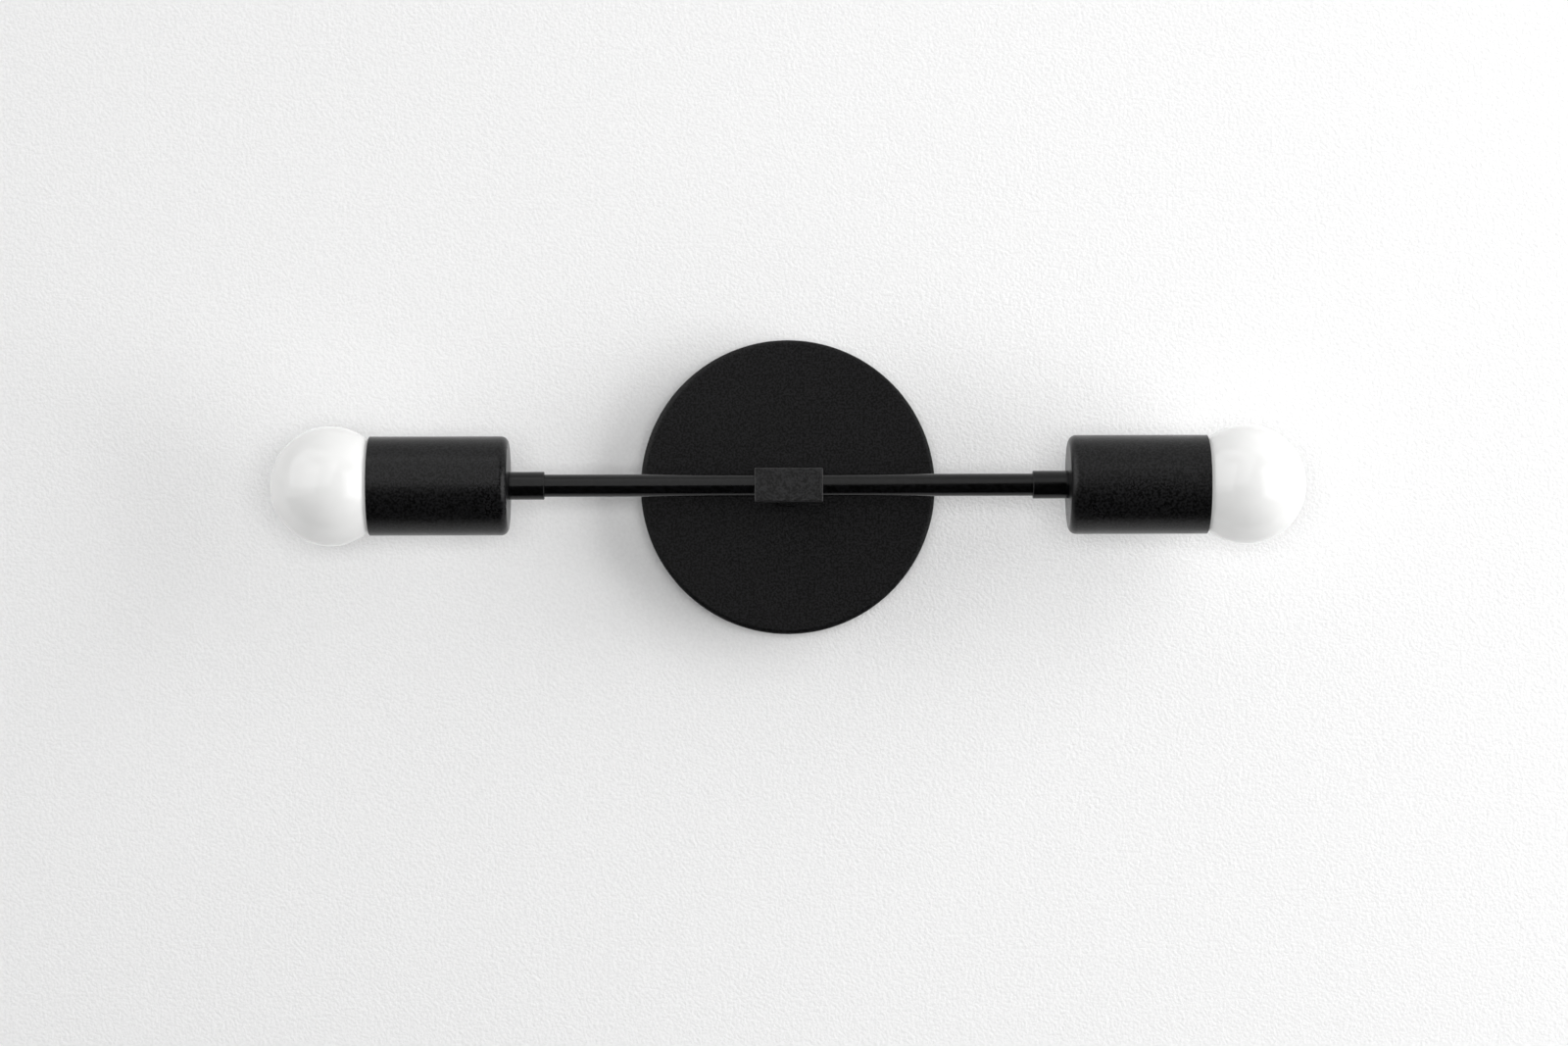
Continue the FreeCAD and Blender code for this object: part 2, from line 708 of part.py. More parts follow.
# Shell: the rolled sheet that carries the socket's thread, flanged in on the porcelain floor.
# Its tab goes through the floor and turns up behind it to take the neutral lead.
def screw_shell():
    ring = turned("shell_ring", [
        ("socket_seat", "flange_bore"),
        ("socket_seat", "shell_radius"),
        ("shell_end", "shell_radius"),
        ("shell_end", "shell_bore"),
        ("socket_seat + shell_wall", "shell_bore"),
        ("socket_seat + shell_wall", "flange_bore"),
    ])
    tab = extruded("shell_tab", "XZ_Plane", [
        ("socket_seat", "-flange_bore - shell_wall"),
        ("socket_seat + shell_wall", "-flange_bore - shell_wall"),
        ("socket_seat + shell_wall", "-tab_inside"),
        ("lead_end + shell_wall", "-tab_inside"),
        ("lead_end + shell_wall", "-lead_beside + lead_radius / 2"),
        ("lead_end", "-lead_beside + lead_radius / 2"),
        ("lead_end", "-tab_outside"),
        ("socket_seat", "-tab_outside"),
    ], "shell_tab_width")
    return fused("screw_shell", ring, tab)


keep_pair("screw_shell", on_arm_axis(screw_shell()))


# Contact: a folded spring leaf on the floor, held by a rivet whose tail takes the live lead
def centre_contact():
    upper_face = "socket_seat + contact_sheet"
    under_pad = "contact_top - contact_sheet"
    leaf = extruded("contact_leaf", "XZ_Plane", [
        ("socket_seat", "rivet_offset - contact_tail"),
        ("socket_seat", "contact_reach"),
        (f"{upper_face} + contact_sheet / 4", "contact_reach"),
        ("contact_top", "contact_pad / 2"),
        ("contact_top", "-contact_pad / 2"),
        (under_pad, "-contact_pad / 2"),
        (under_pad, "contact_pad / 2 - contact_sheet / 2"),
        (upper_face, "contact_reach - contact_sheet * 2.5"),
        (upper_face, "rivet_offset - contact_tail"),
    ], "contact_width")
    shank, head = "rivet_diameter / 2", "rivet_head_diameter / 2"
    rivet = turned("contact_rivet", [
        ("lead_end", "0"),
        ("lead_end", head),
        ("well_floor", head),
        ("well_floor", shank),
        (upper_face, shank),
        (upper_face, head),
        (f"{upper_face} + rivet_head_height", head),
        (f"{upper_face} + rivet_head_height", "0"),
    ])
    return fused("centre_contact", leaf, place(rivet, z="rivet_offset"))


keep_pair("centre_contact", on_arm_axis(centre_contact()))

# Screws that hold each socket on its strap, driven outwards from inside the strap
inward_screw = screw("socket_screw", "-strap_top + strap_thickness", "socket_screw_length",
                     z="foot_screw_height")
upper_screw = on_arm_axis(mirrored("upper_socket_screw", inward_screw))
right_screws = group("right_socket_screws", upper_screw, mirrored("lower_socket_screw", upper_screw, "Z"))
keep(group("socket_screws", right_screws, mirrored("left_socket_screws", right_screws)))


# Lead: one insulated wire held all the way from the stem, round the bend in the block, to the socket
def lead(name, height):
    corner_x, corner_y = "lead_beside + lead_bend", "-lead_front + lead_bend"
    in_stem = cylinder("lead_in_stem", "Y", "lead_radius", "lead_front - lead_bend - stem_pipe_rear",
                       x="lead_beside", y=corner_y, z=height)
    quarter = turn(doc.addObject("Part::Torus", "lead_quarter"), "Z", 180)
    quarter.Angle3 = 90.0
    bind(quarter, Radius1="lead_bend", Radius2="lead_radius")
    place(quarter, x=corner_x, y=corner_y, z=height)
    in_arm = cylinder("lead_in_arm", "X", "lead_radius", "lead_end - lead_beside - lead_bend",
                      x=corner_x, y="-lead_front", z=height)
    return fused(name, in_stem, quarter, in_arm)


keep_pair("live_lead", lead("live_lead", "lead_beside"))
keep_pair("neutral_lead", lead("neutral_lead", "-lead_beside"))


# Globe: a hollow glass ball whose neck is cemented into the screw cap
def bulb_globe():
    def ball_with_neck(name, ball, neck, overrun):
        sphere = turn(doc.addObject("Part::Sphere", name + "_ball"), "Y", 90)
        bind(sphere, Radius=ball)
        place(sphere, x="globe_centre")
        throat = cylinder(name + "_neck", "X", neck, f"globe_centre - neck_start + {overrun}",
                          x=f"neck_start - {overrun}")
        return fused(name, sphere, throat)

    outside = ball_with_neck("glass_outside", "globe_radius", "neck_radius", "0 * cut_overrun")
    inside = ball_with_neck("glass_inside", "globe_radius - globe_wall", "neck_radius - globe_wall",
                            "cut_overrun")
    return cut("bulb_globe", outside, inside)


keep_pair("bulb_globe", on_arm_axis(bulb_globe()))

# Cap: the thin threaded shell, drawn in at its mouth round the black glass
keep_pair("bulb_cap", on_arm_axis(turned("bulb_cap", [
    ("shoulder_start", "cap_mouth"),
    ("shoulder_end", "cap_radius"),
    ("cap_end", "cap_radius"),
    ("cap_end", "cap_radius - cap_wall"),
    ("shoulder_end + cap_wall / 2", "cap_radius - cap_wall"),
    ("shoulder_start + cap_wall * 2 / 3", "cap_mouth - cap_wall * 2 / 3"),
])))

# Black glass between the cap and the solder tip
keep_pair("bulb_insulator", on_arm_axis(turned("bulb_insulator", [
    ("insulator_start", "0"),
    ("insulator_start", "tip_diameter / 2 + seat_clearance"),
    ("shoulder_start", "cap_mouth - cap_wall"),
    ("insulator_end", "cap_mouth - cap_wall"),
    ("insulator_end", "0"),
])))

# Solder tip with a rounded edge
tip = turned("bulb_tip", [
    ("bulb_contact", "0"),
    ("bulb_contact", "tip_diameter / 2"),
    ("bulb_contact + tip_height", "tip_diameter / 2"),
    ("bulb_contact + tip_height", "0"),
])
dress(tip, "Fillet", "tip_edge_radius", circle_at("bulb_contact", "tip_diameter / 2"))
keep_pair("bulb_tip", on_arm_axis(tip))

# Glass stem: a flare sealed in the neck, narrowing to the press that holds the wires
flare_rim = "neck_radius - globe_wall - seat_clearance"
keep_pair("bulb_stem", on_arm_axis(turned("bulb_stem", [
    ("neck_start", "exhaust_diameter / 2"),
    ("neck_start", "exhaust_diameter / 2 + globe_wall"),
    ("press_start - globe_wall", "exhaust_diameter / 2 + globe_wall"),
    ("neck_start", f"{flare_rim} - globe_wall"),
    ("neck_start", flare_rim),
    ("press_start", "press_diameter / 2"),
    ("press_end", "press_diameter / 2"),
    ("press_end", "exhaust_diameter / 2"),
])))


# Filament mount: two wires spread from the press to the ends of the coiled filament
def bulb_filament():
    half = "filament_wire / 2"
    top = "press_end + filament_height"
    upper = [
        ("press_end", f"filament_foot / 2 - {half}"),
        ("press_end", f"filament_foot / 2 + {half}"),
        (f"{top} - {half}", f"filament_width / 2 + {half}"),
        (f"{top} + {half}", "filament_width / 2"),
    ]
    lower = [(along, negative(height)) for along, height in reversed(upper)]
    inside = [(f"{top} - {half}", negative(f"filament_width / 2 - filament_wire")),
              (f"{top} - {half}", "filament_width / 2 - filament_wire")]
    return extruded("bulb_filament", "XZ_Plane", upper + lower + inside, "filament_wire")


keep_pair("bulb_filament", on_arm_axis(bulb_filament()))

doc.recompute()

# Every object must have been worked out, and every sub-part must be a sound solid
for thing in doc.Objects:
    if "Invalid" in thing.State or "Error" in thing.State:
        raise RuntimeError(f"{thing.Label} failed: {thing.State}")
for piece in sub_parts:
    if piece.Shape.isNull() or not piece.Shape.isValid() or not piece.Shape.Solids:
        raise RuntimeError(f"{piece.Label} has no sound solid")
    piece.Shape.exportStep(f"parts/{piece.Label}.step")
    centre = piece.Shape.BoundBox.Center
    print(f"{piece.Label}: {len(piece.Shape.Solids)} solid, {piece.Shape.Volume:.1f} mm3, "
          f"centre {centre.x:.1f} {centre.y:.1f} {centre.z:.1f}")
print(len(sub_parts), "sub-parts")
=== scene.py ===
import bmesh
import bpy
import json
import math
from mathutils import Matrix, Vector


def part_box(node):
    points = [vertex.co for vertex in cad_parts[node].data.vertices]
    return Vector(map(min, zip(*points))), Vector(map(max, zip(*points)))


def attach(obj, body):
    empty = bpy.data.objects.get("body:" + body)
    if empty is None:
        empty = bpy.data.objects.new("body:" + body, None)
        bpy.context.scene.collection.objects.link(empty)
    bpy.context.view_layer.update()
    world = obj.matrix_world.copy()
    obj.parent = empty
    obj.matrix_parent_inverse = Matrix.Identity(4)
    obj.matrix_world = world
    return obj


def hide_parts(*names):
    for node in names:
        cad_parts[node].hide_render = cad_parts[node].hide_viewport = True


# Two-arm wall light. Metres: +X is the right-hand arm, +Z is up and the front faces -Y.

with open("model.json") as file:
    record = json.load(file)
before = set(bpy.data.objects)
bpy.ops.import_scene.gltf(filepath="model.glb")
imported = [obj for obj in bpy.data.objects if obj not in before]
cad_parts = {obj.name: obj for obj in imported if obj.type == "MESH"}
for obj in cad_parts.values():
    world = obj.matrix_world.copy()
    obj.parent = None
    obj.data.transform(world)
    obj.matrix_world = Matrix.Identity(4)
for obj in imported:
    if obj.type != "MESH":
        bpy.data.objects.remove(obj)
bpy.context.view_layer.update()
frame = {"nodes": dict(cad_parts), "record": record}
nodes = frame["nodes"]
mm = 0.001
inch = 25.4 * mm
print("frame loaded:", len(nodes), "nodes")


def linearColour(hexCode):
    # turns an sRGB hex value into the linear colour that a shader takes
    steps = [int(hexCode[place:place + 2], 16) / 255 for place in (1, 3, 5)]
    return [step / 12.92 if step <= 0.04045 else ((step + 0.055) / 1.055) ** 2.4 for step in steps] + [1.0]


def addNode(tree, kind, settings={}, inputs={}):
    # one node with its settings; "stops" are a ramp's places and colours, and an input is a node or
    # socket to link, or a plain value
    node = tree.nodes.new(kind)
    for name, setting in settings.items():
        if name == "stops":
            for stop, (place, colour) in zip(node.color_ramp.elements, setting):
                stop.position = place
                stop.color = linearColour(colour)
        else:
            setattr(node, name, setting)
    for name, given in inputs.items():
        socket = node.inputs[name]
        if isinstance(given, bpy.types.Node):
            tree.links.new(given.outputs[0], socket)
        elif isinstance(given, bpy.types.NodeSocket):
            tree.links.new(given, socket)
        else:
            socket.default_value = given
    return node


def startMaterial(name):
    # a material with an emptied tree, and the place on the object that its patterns follow
    material = bpy.data.materials.new(name)
    material.use_nodes = True
    tree = material.node_tree
    tree.nodes.clear()
    return material, tree, addNode(tree, "ShaderNodeTexCoord").outputs["Object"]


# Finishes. A pattern's scale is one over its real grain in metres.

def powderCoat(name, look):
    # polyester powder baked on steel: black, with a fine orange peel that breaks up its soft sheen;
    # the real peel is about half a millimetre across and is drawn coarser so that it shows
    material, tree, place = startMaterial(name)
    peel = addNode(tree, "ShaderNodeTexNoise", {}, {
        "Vector": place, "Scale": 1 / look["peelSize"], "Detail": 3.0})
    cloud = addNode(tree, "ShaderNodeTexNoise", {}, {"Vector": place, "Scale": 1 / look["cloudSize"]})
    colour = addNode(tree, "ShaderNodeValToRGB", {
        "stops": [(0.42, look["dark"]), (0.58, look["light"])]}, {"Fac": peel})
    gloss = addNode(tree, "ShaderNodeMapRange", {}, {
        "Value": cloud, "From Min": 0.3, "From Max": 0.7,
        "To Min": look["roughness"] - 0.03, "To Max": look["roughness"] + 0.03})
    bump = addNode(tree, "ShaderNodeBump", {}, {"Height": peel, "Distance": look["peelDepth"]})
    coat = addNode(tree, "ShaderNodeBsdfPrincipled", {}, {
        "Base Color": colour, "Roughness": gloss, "Normal": bump, "IOR": 1.45,
        "Specular IOR Level": look["sheen"]})
    addNode(tree, "ShaderNodeOutputMaterial", {}, {"Surface": coat})
    return material


def bareMetal(name, look):
    # plated or bare metal: the plating's tint, fine draw lines and a slightly uneven gloss
    material, tree, place = startMaterial(name)
    drawn = addNode(tree, "ShaderNodeMapping", {}, {"Vector": place, "Scale": look["stretch"]})
    lines = addNode(tree, "ShaderNodeTexNoise", {}, {
        "Vector": drawn, "Scale": 1 / look["lineSize"], "Detail": 4.0})
    cloud = addNode(tree, "ShaderNodeTexNoise", {}, {"Vector": place, "Scale": 1 / (4 * mm)})
    colour = addNode(tree, "ShaderNodeValToRGB", {
        "stops": [(0.3, look["dark"]), (0.7, look["light"])]}, {"Fac": lines})
    gloss = addNode(tree, "ShaderNodeMapRange", {}, {
        "Value": cloud, "From Min": 0.3, "From Max": 0.7,
        "To Min": look["roughness"] - 0.06, "To Max": look["roughness"] + 0.06})
    bump = addNode(tree, "ShaderNodeBump", {}, {"Height": lines, "Strength": 0.6, "Distance": 0.01 * mm})
    sheet = addNode(tree, "ShaderNodeBsdfPrincipled", {}, {
        "Base Color": colour, "Roughness": gloss, "Normal": bump, "Metallic": 1.0})
    addNode(tree, "ShaderNodeOutputMaterial", {}, {"Surface": sheet})
    return material


def opalGlass():
    # blown glass, clear outside and flashed milk white inside: even white under a deep hard gloss;
    # a faint painted glow (a weak white emission, though the bulb is unlit) lifts its shaded side so that
    # it never goes grey, and its clear skin gathers a little light round the edge
    material, tree, place = startMaterial("opalGlass")
    cloud = addNode(tree, "ShaderNodeTexNoise", {}, {"Vector": place, "Scale": 1 / (14 * mm)})
    colour = addNode(tree, "ShaderNodeValToRGB", {
        "stops": [(0.35, "#CACAC9"), (0.65, "#CFCFCE")]}, {"Fac": cloud})
    # the Emission below is a painted glow that lifts the shaded side of the unlit globe
    glass = addNode(tree, "ShaderNodeBsdfPrincipled", {}, {
        "Base Color": colour, "Roughness": 0.12, "IOR": 1.52,
        "Emission Color": linearColour("#FFFFFE"), "Emission Strength": 0.2,
        "Sheen Weight": 0.3, "Sheen Roughness": 0.35, "Specular IOR Level": 0.0,
        "Coat Weight": 1.0, "Coat IOR": 1.5, "Coat Roughness": 0.05})
    addNode(tree, "ShaderNodeOutputMaterial", {}, {"Surface": glass})
    return material


def sealGlass():
    # black vitrite poured into the cap: deep gloss with flow marks
    material, tree, place = startMaterial("sealGlass")
    flow = addNode(tree, "ShaderNodeTexNoise", {}, {
        "Vector": place, "Scale": 1 / (3 * mm), "Detail": 3.0})
    colour = addNode(tree, "ShaderNodeValToRGB", {
        "stops": [(0.3, "#0B0B0D"), (0.7, "#17171A")]}, {"Fac": flow})
    bump = addNode(tree, "ShaderNodeBump", {}, {"Height": flow, "Strength": 0.5, "Distance": 0.05 * mm})
    glass = addNode(tree, "ShaderNodeBsdfPrincipled", {}, {
        "Base Color": colour, "Roughness": 0.12, "IOR": 1.52, "Normal": bump})
    addNode(tree, "ShaderNodeOutputMaterial", {}, {"Surface": glass})
    return material


def stemGlass():
    # clear lead glass of the stem, with streaks drawn along it
    material, tree, place = startMaterial("stemGlass")
    drawn = addNode(tree, "ShaderNodeMapping", {}, {"Vector": place, "Scale": (0.1, 1, 1)})
    streak = addNode(tree, "ShaderNodeTexNoise", {}, {"Vector": drawn, "Scale": 1 / (2 * mm)})
    colour = addNode(tree, "ShaderNodeValToRGB", {
        "stops": [(0.3, "#E9EFEC"), (0.7, "#F7FAF8")]}, {"Fac": streak})
    bump = addNode(tree, "ShaderNodeBump", {}, {"Height": streak, "Strength": 0.4, "Distance": 0.02 * mm})
    glass = addNode(tree, "ShaderNodeBsdfPrincipled", {}, {
        "Base Color": colour, "Roughness": 0.04, "IOR": 1.54, "Normal": bump, "Transmission Weight": 1.0})
    addNode(tree, "ShaderNodeOutputMaterial", {}, {"Surface": glass})
    return material


def glazedPorcelain():
    # fired white porcelain: warm white with faint specks under a thin glaze
    material, tree, place = startMaterial("glazedPorcelain")
    cloud = addNode(tree, "ShaderNodeTexNoise", {}, {"Vector": place, "Scale": 1 / (6 * mm)})
    clay = addNode(tree, "ShaderNodeValToRGB", {
        "stops": [(0.3, "#E6E1D6"), (0.7, "#EFEBE1")]}, {"Fac": cloud})
    grit = addNode(tree, "ShaderNodeTexNoise", {}, {"Vector": place, "Scale": 1 / (0.5 * mm)})
    speck = addNode(tree, "ShaderNodeValToRGB", {
        "stops": [(0.24, "#BDB6A8"), (0.30, "#FFFFFF")]}, {"Fac": grit})
    colour = addNode(tree, "ShaderNodeMix", {"data_type": "RGBA", "blend_type": "MULTIPLY"}, {
        0: 1.0, 6: clay, 7: speck})
    pool = addNode(tree, "ShaderNodeTexNoise", {}, {"Vector": place, "Scale": 1 / (2.5 * mm)})
    bump = addNode(tree, "ShaderNodeBump", {}, {"Height": pool, "Strength": 0.4, "Distance": 0.03 * mm})
    body = addNode(tree, "ShaderNodeBsdfPrincipled", {}, {
        "Base Color": colour.outputs[2], "Roughness": 0.22, "IOR": 1.5, "Normal": bump,
        "Coat Weight": 0.6, "Coat Roughness": 0.06})
    addNode(tree, "ShaderNodeOutputMaterial", {}, {"Surface": body})
    return material


def vinylInsulation(name, dark, light):
    # extruded vinyl: dull, with the faint lay of the strands under it
    material, tree, place = startMaterial(name)
    lay = addNode(tree, "ShaderNodeTexNoise", {}, {
        "Vector": place, "Scale": 1 / (0.5 * mm), "Detail": 3.0})
    colour = addNode(tree, "ShaderNodeValToRGB", {"stops": [(0.3, dark), (0.7, light)]}, {"Fac": lay})
    bump = addNode(tree, "ShaderNodeBump", {}, {"Height": lay, "Strength": 0.4, "Distance": 0.02 * mm})
    skin = addNode(tree, "ShaderNodeBsdfPrincipled", {}, {
        "Base Color": colour, "Roughness": 0.42, "IOR": 1.53, "Normal": bump})
    addNode(tree, "ShaderNodeOutputMaterial", {}, {"Surface": skin})
    return material


canopyCoat = powderCoat("matteBlackPowderCoat", {
    "dark": "#020202", "light": "#151516", "roughness": 0.42, "sheen": 0.16,
    "peelSize": 0.9 * mm, "peelDepth": 0.07 * mm, "cloudSize": 30 * mm})
cupCoat = powderCoat("cupPowderCoat", {
    "dark": "#030303", "light": "#19191A", "roughness": 0.29, "sheen": 0.23,
    "peelSize": 0.9 * mm, "peelDepth": 0.06 * mm, "cloudSize": 20 * mm})
blockCoat = powderCoat("castBlockPowderCoat", {
    "dark": "#070707", "light": "#1E1E1F", "roughness": 0.32, "sheen": 0.34,
    "peelSize": 0.9 * mm, "peelDepth": 0.04 * mm, "cloudSize": 12 * mm})
tubeCoat = powderCoat("satinBlackPowderCoat", {
    "dark": "#040404", "light": "#0C0C0D", "roughness": 0.15, "sheen": 0.3,
    "peelSize": 1.4 * mm, "peelDepth": 0.012 * mm, "cloudSize": 20 * mm})
zincPlate = bareMetal("brightZincPlate", {
    "dark": "#A9ABAB", "light": "#C9CBCA", "roughness": 0.34, "lineSize": 0.5 * mm, "stretch": (1, 1, 1)})
greenPassivate = bareMetal("greenPassivatedSteel", {
    "dark": "#1F6B3A", "light": "#2F8A4D", "roughness": 0.36, "lineSize": 0.5 * mm, "stretch": (1, 1, 1)})
shellSheet = bareMetal("rolledAluminium", {
    "dark": "#C6C6C4", "light": "#DEDEDC", "roughness": 0.3, "lineSize": 0.4 * mm, "stretch": (6, 1, 1)})
springBrass = bareMetal("springBrass", {
    "dark": "#B88A45", "light": "#D3A75C", "roughness": 0.28, "lineSize": 0.4 * mm, "stretch": (1, 1, 1)})
capSheet = bareMetal("nickelledCapSheet", {
    "dark": "#BEBDBA", "light": "#D9D8D5", "roughness": 0.26, "lineSize": 0.4 * mm, "stretch": (6, 1, 1)})
tinSolder = bareMetal("tinSolder", {
    "dark": "#9C9DA0", "light": "#C4C5C7", "roughness": 0.38, "lineSize": 1.2 * mm, "stretch": (1, 1, 1)})
drawnWire = bareMetal("drawnNickelWire", {
    "dark": "#5D5B58", "light": "#7A7875", "roughness": 0.4, "lineSize": 0.3 * mm, "stretch": (1, 1, 1)})
opal = opalGlass()

finishes = {
    "matte_black": canopyCoat, "satin_black": tubeCoat, "zinc_steel": zincPlate,
    "green_screw": greenPassivate, "porcelain": glazedPorcelain(), "shell_metal": shellSheet,
    "contact_brass": springBrass, "black_insulation": vinylInsulation("blackVinyl", "#141415", "#1D1D1E"),
    "white_insulation": vinylInsulation("whiteVinyl", "#DADAD4", "#E8E8E3"), "opal_glass": opal,
    "cap_metal": capSheet, "black_glass": sealGlass(), "solder": tinSolder,
    "clear_glass": stemGlass(), "filament_metal": drawnWire}
slotOf = {entry["node"]: entry["material_slot"] for entry in frame["record"]["subparts"]}
for name, node in nodes.items():
    node.data.materials.clear()
    node.data.materials.append(finishes[slotOf[name]])
nodes["arm_block"].data.materials[0] = blockCoat
for side in ("left", "right"):
    nodes[side + "_cup"].data.materials[0] = cupCoat
print("finishes laid on", len(nodes), "nodes")


# Shared ways of making a piece

armLow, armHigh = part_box("right_arm")
armDepth = (armLow.y + armHigh.y) / 2
sides = {
    "right": Matrix.Translation((0, armDepth, 0)),
    "left": Matrix.Translation((0, armDepth, 0)) @ Matrix.Rotation(math.pi, 4, "Z")}
# a bend sharper than this shows as an edge, and a cut thread has this many rows in each turn
sharpFrom = {"turned": math.radians(35), "threaded": math.radians(50)}
rowsPerTurn = 8


def newObject(name, data):
    thing = bpy.data.objects.new(name, data)
    bpy.context.scene.collection.objects.link(thing)
    return thing


def meshFrom(shape, name, material):
    # closes an edit mesh into a plain mesh with one material
    mesh = bpy.data.meshes.new(name)
    shape.to_mesh(mesh)
    shape.free()
    mesh.materials.append(material)
    return mesh


def finalMesh(thing):
    # the plain mesh that an object's modifiers leave; the object itself is removed
    mesh = bpy.data.meshes.new_from_object(thing.evaluated_get(bpy.context.evaluated_depsgraph_get()))
    thing.modifiers.clear()
    bpy.data.objects.remove(thing)
    return mesh


def joined(parts, place=Matrix()):
    # lays meshes together into one, moved to its place
    shape = bmesh.new()
    for part in parts:
        shape.from_mesh(part)
    mesh = meshFrom(shape, "joined", parts[0].materials[0])
    mesh.transform(place)
    return mesh


def settle(name, mesh, body, replaced):
    # a finished mesh becomes a piece that rides on its body and stands for its nodes
    piece = newObject(name, mesh)
    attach(piece, body)
    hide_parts(*replaced)


def turnedMesh(outline, material, steps, loop=False):
    # an outline of (distance along X, radius) turned about X; a radius of 0 closes it at a pole, and
    # a loop joins its last point to its first
    angles = [2 * math.pi * step / steps for step in range(steps)]
    shape = bmesh.new()
    rings = []
    for distance, radius in outline:
        if radius == 0:
            places = [(distance, 0, 0)]
        else:
            places = [(distance, radius * math.cos(angle), radius * math.sin(angle)) for angle in angles]
        rings.append([shape.verts.new(place) for place in places])
    following = rings[1:] + rings[:1] if loop else rings[1:]
    for near, far in zip(rings, following):
        for step in range(steps):
            ahead = (step + 1) % steps
            corners = [near[step % len(near)], near[ahead % len(near)],
                       far[ahead % len(far)], far[step % len(far)]]
            corners = list(dict.fromkeys(corners))
            if len(corners) > 2:
                shape.faces.new(corners)
    bmesh.ops.recalc_face_normals(shape, faces=shape.faces)
    mesh = meshFrom(shape, "turned", material)
    mesh.shade_smooth()
    mesh.set_sharp_from_angle(angle=sharpFrom["turned"])
    return mesh


def bentSheet(outline, width, material):
    # a strip's side view of (distance along X, height) drawn out evenly to both sides along Y
    shape = bmesh.new()
    near = [shape.verts.new((x, -width / 2, z)) for x, z in outline]
    far = [shape.verts.new((x, width / 2, z)) for x, z in outline]
    shape.faces.new(near)
    shape.faces.new(far)
    for step in range(len(outline)):
        shape.faces.new([near[step - 1], near[step], far[step], far[step - 1]])
    bmesh.ops.recalc_face_normals(shape, faces=shape.faces)
    return meshFrom(shape, "sheet", material)


def arc(centre, radius, start, end, steps):
    # points of an arc in (distance along X, radius), with angles in degrees from +X
    angles = [math.radians(start + (end - start) * step / steps) for step in range(steps + 1)]
    return [(centre[0] + radius * math.cos(angle), centre[1] + radius * math.sin(angle))
            for angle in angles]


def startTree(name, sizes):
    # an empty Geometry Nodes tree with a named input for each size
    tree = bpy.data.node_groups.new(name, "GeometryNodeTree")
    tree.interface.new_socket("Geometry", in_out="INPUT", socket_type="NodeSocketGeometry")
    for size, kind in sizes.items():
        tree.interface.new_socket(size, in_out="INPUT", socket_type="NodeSocket" + kind)
    tree.interface.new_socket("Geometry", in_out="OUTPUT", socket_type="NodeSocketGeometry")
    return tree, addNode(tree, "NodeGroupInput").outputs


def endTree(tree, geometry, material):
    # every tree ends in plain geometry with one material
    whole = addNode(tree, "GeometryNodeRealizeInstances", {}, {"Geometry": geometry})
    coated = addNode(tree, "GeometryNodeSetMaterial", {}, {"Geometry": whole, "Material": material})
    addNode(tree, "NodeGroupOutput", {}, {"Geometry": coated})


def grow(tree, start, sizes):
    # runs a tree on a mesh with the given sizes and returns the plain mesh that comes out
    seed = newObject("seed", start)
    modifier = seed.modifiers.new("grow", "NODES")
    modifier.node_group = tree
    for item in tree.interface.items_tree:
        if item.in_out == "INPUT" and item.name in sizes:
            modifier[item.identifier] = sizes[item.name]
    return finalMesh(seed)


def sumUp(tree, known, steps):
    # adds one Math node for each named step; a term is an earlier name, an input or a number
    for name, (operation, *terms) in steps.items():
        known[name] = addNode(tree, "ShaderNodeMath", {"operation": operation}, {
            place: known.get(term, term) for place, term in enumerate(terms)})


# Threads: a wall of rolled sheet, or a cut bar or pipe, with a right-hand thread round +X

